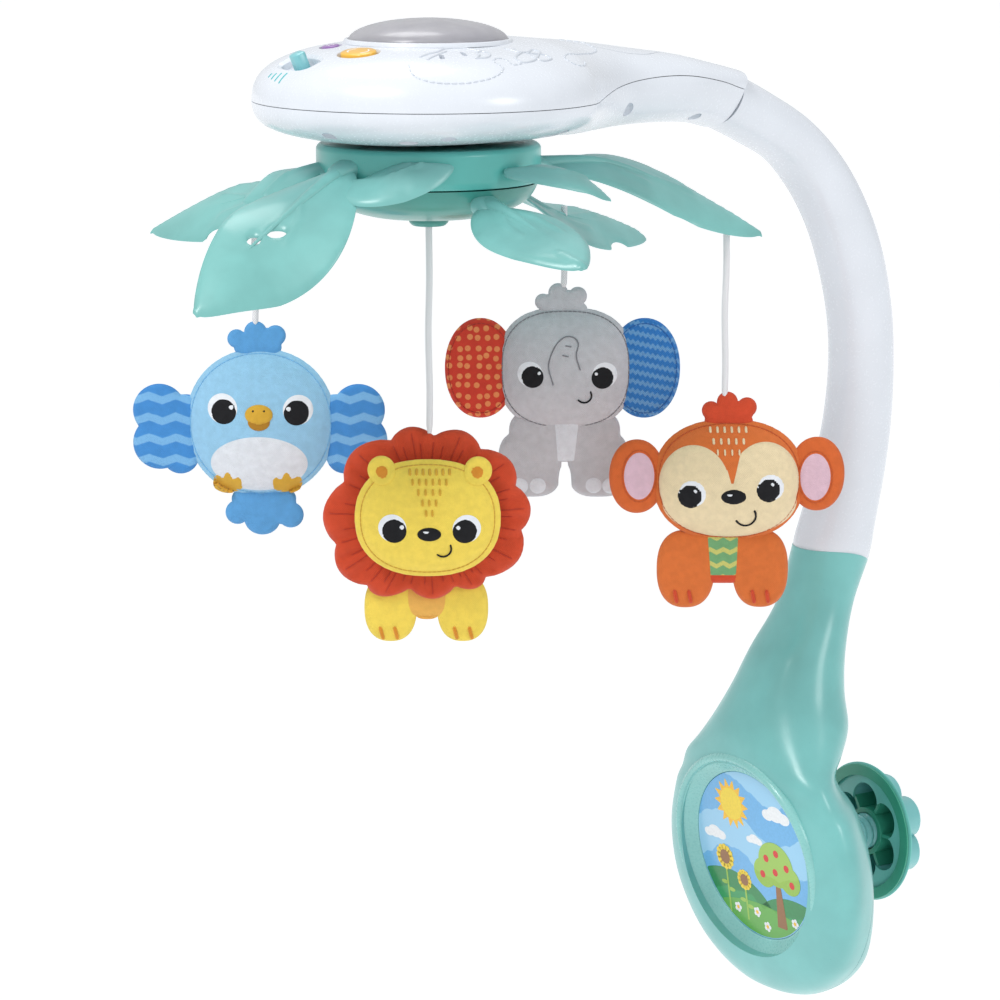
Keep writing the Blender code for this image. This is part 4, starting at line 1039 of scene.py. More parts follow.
def make_controls(yellow, purple, teal, mark):
    """Two domed buttons with printed signs, and the timer's slider."""
    play = make("play_key", rounded_puck(8.6, 6.4, -4.0, 0.8), yellow, on_head(*PLAY))
    finish(play, "play_button", "yellow", "play_button")
    sign = Shape()
    arrow = prism(np.array(((-2.0, -1.9), (1.8, 0.0), (-2.0, 1.9))), 0.7, 0.98)
    sign.add(np.vstack(arrow.points), arrow.faces)
    for side in (-1.0, 1.0):
        arc = [(side * 5.2 * math.cos(a), 3.4 * math.sin(a)) for a in np.linspace(-0.9, 0.9, 12)]
        bow = ribbon(arc, 0.7, 0.6, 0.95)
        sign.add(np.vstack(bow.points), bow.faces)
    finish(make("play_sign", sign, mark, on_head(*PLAY)), "play_button", "white")
    mode = make("mode_key", rounded_puck(5.9, 3.9, -4.0, 0.6), purple, on_head(*MODE))
    finish(mode, "mode_button", "purple", "mode_button")
    waves = Shape()
    for z in (-1.0, 1.0):
        bow = ribbon([(x, z + 0.5 * math.sin(x * 1.5)) for x in np.linspace(-2.8, 2.8, 18)], 0.45, 0.5, 0.85)
        waves.add(np.vstack(bow.points), bow.faces)
    finish(make("mode_sign", waves, mark, on_head(*MODE)), "mode_button", "white")
    slider = make("timer_slider", rounded_puck(3.7, 3.1, -3.8, 3.9, 3.2, 0.9), teal, on_head(*SWITCH))
    finish(slider, "timer_switch", "switch", "timer_switch")


def pill(start, end, radius, flat=1.0, sides=8):
    """Round-ended bar between two points."""
    start = np.asarray(start, float)
    end = np.asarray(end, float)
    along = end - start
    length = max(np.linalg.norm(along), 1e-6)
    along = along / length
    helper = np.array((0.0, 0.0, 1.0)) if abs(along[2]) < 0.9 else np.array((1.0, 0.0, 0.0))
    side = np.cross(along, helper)
    side /= np.linalg.norm(side)
    up = np.cross(side, along)
    angles = np.linspace(0.0, 2.0 * math.pi, sides + 1)[:-1]
    rings = []
    for share, back in ((0.25, -0.97), (0.75, -0.66), (1.0, 0.0)):
        rings.append((share, start + along * back * radius))
    for share, back in ((1.0, 0.0), (0.75, 0.66), (0.25, 0.97)):
        rings.append((share, end + along * back * radius))
    return loft([centre + radius * share * (np.outer(np.cos(angles), side) + flat * np.outer(np.sin(angles),
                                                                                             up))
                 for share, centre in rings])


def raised_lines(name, head, lines, radius, look, dashed, body="stand", slot="white"):
    """Moulded lines that lie on the head; each line is a row of (x, y), dashed or unbroken."""
    tree = surface_of(head)
    shape = Shape()
    for line in lines:
        row = np.array(smooth_row([np.array(point, float) for point in line], 8))
        run = np.concatenate([[0.0], np.cumsum(np.linalg.norm(np.diff(row, axis=0), axis=1))])
        pitch = 3.1 if dashed else 1.2
        count = max(2, int(run[-1] / pitch))
        for index in range(count):
            ends = []
            for share in (0.0, 0.5 if dashed else 1.0):
                spot = (index + share) * run[-1] / count
                x = float(np.interp(spot, run, row[:, 0]))
                y = float(np.interp(spot, run, row[:, 1]))
                hit = tree.ray_cast(Vector((x * MM, y * MM, 0.5)), Vector((0.0, 0.0, -1.0)))[0]
                if hit is not None:
                    ends.append(np.array(hit) / MM)
            if len(ends) == 2:
                bar = pill(ends[0], ends[1], radius, 0.8)
                shape.add(np.vstack(bar.points), bar.faces)
    item = make(name, shape, look)
    finish(item, body, slot)


def make_embossing(head, white, mark):
    """Flight trail, butterfly and bee wings moulded on the head's side, and the timer's marks."""
    flight = ((62.0, -41.5), (68.0, -39.7), (71.1, -36.2), (72.6, -30.0), (72.6, -22.0), (71.6, -16.1),
              (70.5, -12.2),
              (68.0, -7.6), (64.0, -4.4), (58.4, -5.6), (55.0, -1.8), (57.0, 1.6), (62.0, 1.6), (61.3, 7.6))
    climb = ((6.9, -169.8), (13.0, -161.6), (19.9, -161.6), (25.2, -163.4), (31.6, -171.0), (36.0, -178.2),
             (43.4, -188.2), (47.0, -195.5), (53.0, -200.4), (56.6, -197.0), (53.4, -190.2), (48.2, -187.0))
    # The trail and wings take the greyer material passed in as white: painted shade for the moulding's
    # shadows.
    raised_lines("trail", head, [[around(*spot) for spot in flight], climb], 0.5, white, True)
    wings = [[around(*spot) for spot in row] for row in (
        ((52.9, -37.6), (48.9, -34.3), (45.1, -29.3), (40.5, -25.3), (37.8, -18.6), (38.4, -10.4),
         (41.1, -6.8), (45.9, -2.1)),
        ((55.8, -34.2), (48.7, -28.7), (44.0, -24.0)),
        ((54.5, -12.0), (50.0, -8.0), (46.0, -7.0), (45.0, -2.0), (49.0, -1.5), (53.5, -6.0), (54.5, -12.0)),
        ((43.2, 16.1), (47.7, 17.0), (50.7, 18.6), (51.4, 24.0), (49.8, 29.2), (53.4, 30.0), (55.5, 24.9),
         (59.6, 16.0),
         (60.8, 8.0), (57.0, 7.0), (53.9, 10.4), (50.7, 18.6)),
        ((52.6, 20.0), (57.0, 27.0), (61.0, 26.0), (61.4, 19.0), (56.0, 18.4)),
        ((47.7, 17.0), (45.4, 20.6)))]
    raised_lines("wings", head, wings, 0.62, white, False)
    marks = []
    for index, length in enumerate((1.6, 2.6, 3.6, 4.6)):
        degrees = -103.0 + index * 3.4
        marks.append([around(73.0 - length / 2.0, degrees), around(73.0, degrees),
                      around(73.0 + length / 3.0, degrees)])
    raised_lines("timer_marks", head, marks, 0.42, mark, False, slot="switch")


# ---------------------------------------------------------------- hub and leaves

class Blade:
    """A leaf's surface: distance along its spine and across it, to a place in the row frame."""

    def __init__(self, azimuth, spine, half_width, roll, shoulder=0.2, belly=0.0):
        rows = np.array(smooth_row([(point[0], point[1],
                                     point[2] if len(point) > 2 else 0.0) for point in spine], 40))
        angles = FACING - np.radians(azimuth + rows[:, 2])
        self.line = HUB + np.column_stack([rows[:, 0] * np.cos(angles), rows[:, 0] * np.sin(angles),
                                           rows[:, 1]])
        along = np.gradient(self.line, axis=0)
        sides = np.column_stack([-along[:, 1], along[:, 0], np.zeros(len(along))])
        self.sides = sides / np.linalg.norm(sides, axis=1)[:, None]
        self.radial = np.array((math.cos(angles[0]), math.sin(angles[0]), 0.0))
        self.side = self.sides[0]
        self.run = np.concatenate([[0.0], np.cumsum(np.linalg.norm(np.diff(self.line, axis=0), axis=1))])
        self.length = self.run[-1]
        self.half_width = half_width
        self.roll = roll
        self.shoulder = shoulder
        self.belly = belly

    def half(self, s, t=0.0):
        """Half width there; the belly swells the edge on the side of positive t near the stem."""
        share = s / self.length
        swell = np.sin(math.pi * np.clip(share * 0.97 + 0.03, 0.0, 0.985) ** 0.8) ** 0.74
        bump = 1.3 * self.belly * np.sin(math.pi * np.clip(share, 0.0, 1.0)) * (1.0 - share) * (t > 0.0)
        return self.half_width * np.maximum(swell, self.shoulder * (1.0 - 2.0 * share)) * (1.0 + bump)

    def place(self, s, t, lift):
        """Points in the row frame at distances along and across the blade."""
        centre = np.column_stack([np.interp(s, self.run, self.line[:, axis]) for axis in range(3)])
        side = np.column_stack([np.interp(s, self.run, self.sides[:, axis]) for axis in range(3)])
        lean = math.radians(self.roll) * np.minimum(1.0, 1.6 * s / self.length)
        camber = 0.20 * t * t / np.maximum(self.half(s), 4.0)
        return centre + side * (t * np.cos(lean))[:, None] + np.outer(t * np.sin(lean) - camber + lift,
                                                                      (0.0, 0.0, 1.0))


def near_line(points, line):
    """Distance of points from a broken line."""
    line = np.asarray(line, float)
    best = np.full(len(points), 1e9)
    for start, end in zip(line, line[1:]):
        edge = end - start
        share = np.clip((points - start) @ edge / (edge @ edge), 0.0, 1.0)
        best = np.minimum(best, np.linalg.norm(points - start - share[:, None] * edge, axis=1))
    return best


def leaf_shape(blade, veins, slots, notches, step=1.5, vein_height=1.5):
    """Moulded blade with raised veins, cut-through slots and notched edges.

    Places are shares of its length and half width.
    """
    length = blade.length

    def outline(s, t):
        field = np.abs(t) - blade.half(s, t)
        field = np.maximum(field, np.maximum(-s, s - length + 0.2))
        for where, across, long, wide, lean in slots + notches:
            u = s - where * length
            v = t - across * blade.half_width
            along = u * math.cos(lean) + v * math.sin(lean)
            over = v * math.cos(lean) - u * math.sin(lean)
            slot = (np.sqrt((along / long) ** 2 + (over / wide) ** 2) - 1.0) * wide
            field = np.maximum(field, -slot)
        return field

    reach = blade.half_width * (1.1 + blade.belly)
    points, quads, edge = cells(outline, (0.0, -reach, length, reach), step)
    s, t = points[:, 0], points[:, 1]
    share = s / length
    lift = vein_height * np.maximum(1.0 - 1.3 * share, 0.0) * np.exp(-(t / (2.4 - 1.0 * share)) ** 2)
    for vein in veins:
        line = [(where * length, across * blade.half_width) for where, across in vein]
        gap = near_line(points, line)
        lift = np.maximum(lift, 0.75 * vein_height * np.exp(-(gap / 1.3) ** 2))
    folds = 0.9 * np.sin(share * 7.0) * (t / blade.half_width)
    away = from_edge(points, edge)
    edge_round = 0.35 + 0.65 * np.minimum(1.0, away / 1.3) ** 0.5
    half_thick = LEAF_THICKNESS / 2.0 * edge_round
    top = blade.place(s, t, folds + lift + half_thick)
    bottom = blade.place(s, t, folds - half_thick + 0.35 * lift)
    return slab(top, bottom, quads)


LEAF_VEINS = {
    "leaf_front_left": (((0.30, 0.06), (0.36, 0.30), (0.47, 0.40)),),
    "leaf_back_left": (((0.30, 0.0), (0.42, 0.34), (0.58, 0.42)), ((0.50, 0.0), (0.66, -0.3))),
    "leaf_front_right": (((0.10, 0.0), (0.36, 0.40), (0.56, 0.44)),
                         ((0.10, 0.0), (0.36, -0.38), (0.5, -0.42)),
                         ((0.80, -0.18), (0.97, -0.02))),
    "leaf_back_right": (((0.30, 0.0), (0.46, -0.36), (0.56, -0.40)), ((0.5, 0.0), (0.7, 0.35))),
    "leaf_right": (((0.22, 0.0), (0.34, -0.36), (0.44, -0.42)), ((0.5, 0.0), (0.68, 0.3))),
}
LEAF_SLOTS = {
    "leaf_front_left": ((0.57, -0.06, 3.6, 2.5, -0.8), (0.47, 0.15, 4.9, 2.1, -0.75)),
}
LEAF_NOTCHES = {
    "leaf_back_left": ((0.52, 1.0, 11.0, 4.2, -0.4),),
    "leaf_back_right": ((0.72, -0.86, 10.0, 5.0, 0.1), (0.98, 0.12, 3.0, 2.6, 0.0)),
    "leaf_right": ((0.60, -1.02, 12.0, 3.0, 0.2),),
}


def rib(blade, reach):
    """Stout stem that runs from the hub out along the blade's spine and dies away."""
    outline = superellipse(24, 2.0)
    rings = []
    for share in np.linspace(-0.03, reach, 14):
        s = share * blade.length
        size = 0.7 + 3.9 * max(1.0 - max(share, 0.0) / reach, 0.0) ** 1.2
        centre = blade.place(np.array([max(s, 0.0)]), np.array([0.0]), 0.6)[0] + blade.radial * min(s, 0.0)
        rings.append(centre + np.outer(outline[:, 0] * size, blade.side)
                     + np.outer(outline[:, 1] * size * 0.8, (0.0, 0.0, 1.0)))
    return loft(rings)


def make_carousel(leaf_look, shaded_skirt_look, shaded_bowl_look):
    place = Matrix.Translation((0.0, HUB_Y * MM, 0.0))
    hole = 4.4
    skirt = [(hole, SKIRT_TOP), (SKIRT_RADIUS - 1.6, SKIRT_TOP), (SKIRT_RADIUS, SKIRT_TOP - 1.6),
             (SKIRT_RADIUS, SKIRT_SEAM + 3.4), (SKIRT_RADIUS - 0.8, SKIRT_SEAM + 0.5),
             (SKIRT_RADIUS - 3.3, SKIRT_SEAM + 0.5), (SKIRT_RADIUS - 3.3, SKIRT_TOP - 2.5),
             (hole, SKIRT_TOP - 2.5)]
    # The skirt, bowl and cap take darker copies of the leaves' teal as painted shade under the crown.
    hub = make("skirt", ring_solid(round_profile(skirt + [skirt[0]], 1.0), 128), shaded_skirt_look, place, weld=True)
    finish(hub, "carousel", "teal", "hub_skirt")
    bowl = [(SKIRT_RADIUS - 1.2, SKIRT_SEAM), (SKIRT_RADIUS - 2.2, SKIRT_SEAM - 2.5), (45.5, 314.5),
            (42.5, 311.6),
            (38.0, 309.0), (32.0, 306.8), (26.0, 305.3), (18.0, 304.4), (CAP_RADIUS + 0.4, BOWL_BOTTOM),
            (CAP_RADIUS + 0.4, BOWL_BOTTOM + 2.5), (26.0, 307.9), (36.6, 311.2), (43.0, 316.0),
            (45.7, SKIRT_SEAM)]
    dish = make("bowl", ring_solid(round_profile(bowl + [bowl[0]], 2.0), 128), shaded_bowl_look, place, weld=True)
    finish(dish, "carousel", "teal", "hub_bowl")
    cap = [(0.05, 309.0), (CAP_RADIUS, 309.0), (CAP_RADIUS, CAP_BOTTOM + 1.6), (CAP_RADIUS - 1.6, CAP_BOTTOM),
           (2.6, CAP_BOTTOM), (2.0, CAP_BOTTOM + 1.4), (0.05, CAP_BOTTOM + 1.4)]
    button = make("cap", loft(turned(round_profile(cap, 0.7), 64)), shaded_bowl_look, place)
    finish(button, "carousel", "teal", "hub_cap")
    petals = Shape()
    for azimuth, spine, half_width, roll, shoulder in PETALS:
        petal = leaf_shape(Blade(azimuth, spine, half_width, roll, shoulder), (((0.45, 0.0), (0.75, 0.4)),),
                           (), (), 1.2)
        petals.add(np.vstack(petal.points), petal.faces)
    finish(make("petals", petals, leaf_look), "carousel", "teal")
    collars = Shape()
    for name, (azimuth, spine, half_width, roll) in LEAVES.items():
        blade = Blade(azimuth, spine, half_width, roll, belly=LEAF_BELLY.get(name, 0.0))
        shape = leaf_shape(blade, LEAF_VEINS[name], LEAF_SLOTS.get(name, ()), LEAF_NOTCHES.get(name, ()))
        leaf = make(name.replace("leaf", "blade"), shape, leaf_look, sharp=60.0)
        finish(leaf, "carousel", "teal", name)
        rings = []
        outline = superellipse(28, 2.6)
        for s, half_x, half_z in ((-3.5, 7.0, 4.2), (-1.5, 7.0, 4.2), (2.0, 6.2, 3.5), (5.0, 5.2, 2.6),
                                  (6.0, 4.4, 2.0)):
            centre = HUB + blade.radial * (spine[0][0] + s) + np.array((0.0, 0.0, spine[0][1] - 0.2 * s))
            rings.append(centre + np.outer(outline[:, 0] * half_x, blade.side)
                         + np.outer(outline[:, 1] * half_z, (0.0, 0.0, 1.0)))
        for piece in (loft(rings), rib(blade, 0.62)):
            collars.add(np.vstack(piece.points), piece.faces)
    finish(make("leaf_collars", collars, leaf_look), "carousel", "teal")


# ---------------------------------------------------------------- sewn toys, in their own frame below the cord

FRONT = -60.0


CROWN_LIFT = {"bird": 0.0, "lion": 0.8, "elephant": 1.2, "monkey": 2.6}
EYE_PEEK = 0.62


def toy_frame(animal):
    """Frame at the toy's crown: X to its right hand side in the picture, Z up, -Y out of its face."""
    crown = Matrix.Translation(JOINTS[animal + "_twist"]["pos_m"]) @ Matrix.Translation((0.0, 0.0,
            CROWN_LIFT[animal] * MM))
    return crown @ Matrix.Rotation(FACING, 4, "Z")


def felt(name, field, box, look, place, thickness=2.4, depth=0.0, step=1.3, puff=0.0, relief=None):
    """Flat sewn layer with a rounded edge; puff is how far its middle swells, and relief shapes its front."""
    points, quads, edge = cells(field, box, step)
    away = from_edge(points, edge)
    half = thickness / 2.0 * (0.35 + 0.65 * np.minimum(1.0, away / 1.4) ** 0.5)
    swell = puff * (1.0 - np.exp(-np.maximum(away - 1.6, 0.0) / 5.0))
    front = -half - swell
    if relief is not None:
        front = front - relief(points) * np.minimum(1.0, away / 3.0)
    shape = slab(layer(points, depth + front), layer(points, depth + half + 0.7 * swell), quads)
    return make(name, shape, look, place, sharp=70.0)


def inflate(item, pinned, limit, pressure=4.0):
    """Blow a closed cloth form up from inside with its seam held, and keep the creases that this makes."""
    rest = np.array([vertex.co for vertex in item.data.vertices])
    scale = 10.0
    mesh = item.data.copy()
    mesh.vertices.foreach_set("co", (rest * scale).ravel())
    work = bpy.data.objects.new("inflating", mesh)
    bpy.context.scene.collection.objects.link(work)
    group = work.vertex_groups.new(name="seam")
    group.add([int(index) for index in np.nonzero(pinned)[0]], 1.0, "REPLACE")
    modifier = work.modifiers.new("cloth", "CLOTH")
    settings = modifier.settings
    settings.vertex_group_mass = "seam"
    settings.use_pressure = True
    settings.uniform_pressure_force = pressure
    settings.effector_weights.gravity = 0.0
    settings.quality = 4
    settings.tension_stiffness = 12.0
    settings.compression_stiffness = 12.0
    settings.bending_stiffness = 0.3
    modifier.collision_settings.use_collision = False
    scene = bpy.context.scene
    for step in range(1, 19):
        scene.frame_set(step)
    shape = work.evaluated_get(bpy.context.evaluated_depsgraph_get())
    found = np.array([vertex.co for vertex in shape.data.vertices]) / scale
    scene.frame_set(1)
    bpy.data.objects.remove(work, do_unlink=True)
    move = found - rest
    length = np.linalg.norm(move, axis=1)[:, None]
    move *= np.minimum(1.0, limit * MM / np.maximum(length, 1e-9))
    item.data.vertices.foreach_set("co", (rest + move).ravel())
    item.data.update()


def cushion(name, field, box, look, place, thickness, rim=2.3, depth=0.0, step=1.7):
    """Stuffed head: two knitted halves sewn at a flat rim, swollen between."""
    points, quads, edge = cells(field, box, step)
    away = from_edge(points, edge)
    inner = np.maximum(away - rim, 0.0)
    reach = inner.max()
    share = np.clip(inner / reach, 0.0, 1.0)
    crown = (1.0 - (1.0 - share) ** 2.3) ** 0.62
    flat = 0.9 * (0.5 + 0.5 * np.minimum(1.0, away / 1.2))
    bulge = (thickness / 2.0 - 2.6) * crown
    shape = slab(layer(points, depth - flat - bulge), layer(points, depth + flat + 0.85 * bulge), quads)
    item = make(name, shape, look, place, sharp=80.0)
    pinned = np.concatenate([away < rim + 0.4] * 2)
    inflate(item, pinned, 2.4)
    smooth = item.modifiers.new("fine", "SUBSURF")
    smooth.levels = 1
    smooth.render_levels = 1
    bake(item)
    item.data.shade_smooth()
    return item


class Dresser:
    """Lays patches and threads on the front of one sewn piece and sends them to its body."""

    def __init__(self, host, body, place):
        self.tree = surface_of(host)
        self.body = body
        self.frame = place

    def depth(self, x, z):
        hit = self.tree.ray_cast(Vector((x * MM, FRONT * MM, z * MM)), Vector((0.0, 1.0, 0.0)))[0]
        if hit is None:
            hit = self.tree.find_nearest(Vector((x * MM, -8.0 * MM, z * MM)))[0]
        return hit.y / MM

    def patch(self, name, fields, look, slot, lift=0.25, step=0.8):
        """Thin cloth shapes; each is an outline and its box."""
        shape = Shape()
        for field, box in fields:
            points, quads, edge = cells(field, box, step)
            depth = np.array([self.depth(x, z) for x, z in points])
            front = depth - np.where(edge, 0.3 * lift, lift)
            piece = slab(layer(points, front), layer(points, depth + 0.7), quads)
            shape.add(np.vstack(piece.points), piece.faces)
        item = make(name, shape, look, self.frame, sharp=60.0)
        return finish(item, self.body, slot)

    def threads(self, name, lines, radius, look, slot, dash=0.0, lift=0.1):
        """Sewn lines along rows of (x, z); dash is the stitch pitch, or 0 for an unbroken line."""
        shape = Shape()
        for line in lines:
            row = np.asarray(line, float)
            run = np.concatenate([[0.0], np.cumsum(np.linalg.norm(np.diff(row, axis=0), axis=1))])
            count = max(1, int(round(run[-1] / (dash or 1.4))))
            for index in range(count):
                ends = []
                for part in (0.0, 0.62 if dash else 1.0):
                    spot = (index + part) * run[-1] / count
                    x = float(np.interp(spot, run, row[:, 0]))
                    z = float(np.interp(spot, run, row[:, 1]))
                    ends.append((x, self.depth(x, z) - lift, z))
                bar = pill(ends[0], ends[1], radius, 0.8, 6)
                shape.add(np.vstack(bar.points), bar.faces)
        item = make(name, shape, look, self.frame, sharp=80.0)
        return finish(item, self.body, slot)


def disc(x, z, half_x, half_z=None):
    half_z = half_x if half_z is None else half_z
    return ellipse(x, z, half_x, half_z), (x - half_x, z - half_z, x + half_x, z + half_z)


def arc(x, z, radius, start, end, count=14):
    angles = np.radians(np.linspace(start, end, count))
    return np.stack([x + radius * np.cos(angles), z + radius * np.sin(angles)], 1)


def inset_line(field, centre, gap, count=120):
    """Closed row of points a gap inside an outline, as seen from its centre."""
    rows = []
    for angle in np.linspace(0.0, 2.0 * math.pi, count + 1):
        way = np.array((math.cos(angle), math.sin(angle)))
        low, high = 0.0, 90.0
        for _ in range(26):
            middle = (low + high) / 2.0
            spot = np.array(centre) + way * middle
            if field(np.array([spot[0]]), np.array([spot[1]]))[0] < -gap:
                low = middle
            else:
                high = middle
        rows.append(np.array(centre) + way * low)
    return np.array(rows)


def eyes(dresser, animal, looks, left, right, black, white, shine, over=0.0):
    """Two stitched eyes: a black round on a white one that peeks out on one side, and a highlight."""
    rims = [tuple(np.array(eye[0]) + EYE_PEEK * (np.array(eye[1]) - np.array(eye[0]))) for eye in (left,
                                                                                                   right)]
    dresser.patch(animal + "_eye_whites", [disc(*rim, white) for rim in rims], looks["white"], "cord",
                  over + 0.16)
    dresser.patch(animal + "_eye_blacks", [disc(*left[0], black), disc(*right[0], black)], looks["black"],
                  "cord",
                  over + 0.34)
    dresser.patch(animal + "_eye_shines", [disc(*left[2], shine), disc(*right[2], shine)], looks["white"],
                  "cord",
                  over + 0.55, 0.45)


def dashes(rows, half_height=1.45):
    """Upright stitches in rows of (height, left end, right end, count)."""
    lines = []
    for z, left, right, count in rows:
        for x in np.linspace(left, right, count):
            lines.append([(x, z + half_height - 0.6), (x + 0.1, z - half_height + 0.6)])
    return lines


def bands(pitch, width, wave, length, colour):
    """Printed zigzag bands across a piece, for fabric(draw=...)."""
    def draw(look, base):
        zigzag = (look.x * (1.0 / length) + 100.0).do("PINGPONG", 0.5) * (wave * 2.0)
        place = (look.z + zigzag + look.noise(3.0) * 0.8) * (1.0 / pitch) + 100.0
        stripe = place.do("FRACT") - 0.5
        return look.mix(stripe.size().step(width / pitch / 2.0, 0.07) * -1.0 + 1.0, base, colour)
    return draw


def dots(pitch, radius, colour):
    """Printed round spots in uneven rows, for fabric(draw=...)."""
    def draw(look, base):
        node = look.tree.nodes.new("ShaderNodeTexVoronoi")
        node.voronoi_dimensions = "2D"
        node.inputs["Scale"].default_value = 1.0 / pitch
        node.inputs["Randomness"].default_value = 0.35
        flat = look.tree.nodes.new("ShaderNodeCombineXYZ")
        look.tree.links.new(look.x.socket, flat.inputs[0])
        look.tree.links.new(look.z.socket, flat.inputs[1])
        look.tree.links.new(flat.outputs[0], node.inputs["Vector"])
        reach = Field(look.tree, node.outputs["Distance"])
        return look.mix(reach.step(radius / pitch, 0.06), colour, base)
    return draw


def make_bird(looks):
    place = toy_frame("bird")
    head = union(ellipse(2.0, -47.2, 34.6, 34.8, 2.1))
    tuft = union(ellipse(-8.7, -8.0, 4.3, 4.3), ellipse(0.0, -4.9, 5.2, 5.0), ellipse(9.2, -6.6, 4.8, 4.8),
                 ellipse(1.0, -12.0, 11.0, 6.0))
    crest = felt("bird_tuft", tuft, (-14.0, -19.0, 15.0, 1.0), looks["bird_dark"], place, 2.6, 0.3, 1.0, 0.6)
    tail = union(ellipse(-9.3, -89.3, 5.6, 5.6), ellipse(2.2, -92.6, 8.3, 7.3),
                 ellipse(15.4, -90.6, 6.0, 6.0),
                 ellipse(3.0, -83.0, 15.0, 8.0))
    rear = felt("bird_tail", tail, (-16.0, -100.5, 22.0, -74.0), looks["bird_dark"], place, 2.6, 0.4, 1.1,
                0.7)
    for item in (crest, rear):
        finish(item, "bird", "bird_blue")
    for side, lobes in (("left", ((-44.8, -41.3, 12.2), (-44.8, -56.5, 12.4), (-35.3, -62.5, 8.6), (-33.0,
            -48.0, 14.0))),
                        ("right", ((47.2, -41.4, 12.2), (48.2, -55.6, 12.3), (40.6, -62.5, 8.6), (37.0, -48.0,
                                                                                                  14.0)))):
        field = union(*[ellipse(x, z, radius, radius) for x, z, radius in lobes])
        wing = felt("bird_%s_wing" % side, field, (-58.0, -73.0, 62.0, -28.0), looks["wing"], place, 2.8, 0.5,
                    1.2, 0.9)
        finish(wing, "bird", "wing_blue", "bird_wing_" + side)
    body = cushion("bird_cushion", head, (-34.0, -83.0, 38.0, -11.0), looks["bird"], place, 25.0)
    dresser = Dresser(body, "bird", place)
    belly = ellipse(1.4, -65.3, 22.4, 13.2)
    dresser.patch("bird_belly", [(belly, (-22.0, -80.0, 25.0, -50.0))], looks["bird_pale"], "bird_blue", 0.3,
                  1.0)
    feet = [(union(ellipse(x - 4.7, -74.8, 2.3, 3.6), ellipse(x, -73.4, 2.5, 4.3),
                   ellipse(x + 4.7, -74.8, 2.3, 3.6),
                   ellipse(x, -77.2, 5.8, 2.5)), (x - 8.0, -81.0, x + 8.0, -68.0)) for x in (-13.2, 14.0)]
    dresser.patch("bird_feet", feet, looks["ochre"], "lion_yellow", 0.5)
    dresser.patch("bird_beak_low", [disc(1.8, -45.2, 5.1, 4.0)], looks["ochre_dark"], "lion_yellow", 0.6)
    dresser.patch("bird_beak", [disc(1.8, -41.8, 6.4, 4.7)], looks["ochre"], "lion_yellow", 1.0)
    dresser.patch("bird_nostrils", [disc(-0.8, -39.9, 0.9), disc(4.3, -39.9, 0.9)], looks["black"], "cord",
                  1.2, 0.4)
    eyes(dresser, "bird", looks, ((-14.5, -40.4), (-15.3, -38.3), (-10.9, -38.4)),
         ((19.1, -41.0), (20.1, -39.1), (15.5, -39.2)), 5.9, 6.9, 1.3)
    dresser.threads("bird_seam", [inset_line(head, (1.5, -47.0), 2.2)], 0.34, looks["thread_blue"],
                    "bird_blue", 2.2)
    finish(body, "bird", "bird_blue", "bird_body")


def mane_outline():
    notches = ((-17.3, -6.1), (2.0, -4.2), (22.8, -10.1), (38.4, -26.8), (41.0, -46.9), (25.0, -68.4),
               (11.3, -72.4),
               (-9.1, -73.4), (-28.4, -72.1), (-42.1, -53.2), (-38.4, -25.0))
    centre = np.array((-1.0, -40.0))
    points = []
    for start, end in zip(notches, notches[1:] + notches[:1]):
        start, end = np.array(start), np.array(end)
        chord = np.linalg.norm(end - start)
        out = (start + end) / 2.0 - centre
        out /= np.linalg.norm(out)
        for share in np.linspace(0.0, 1.0, 11)[:-1]:
            swell = out * 0.27 * chord * math.sin(math.pi * share) ** 0.75
            points.append(start + (end - start) * share + swell)
    return np.array(points)


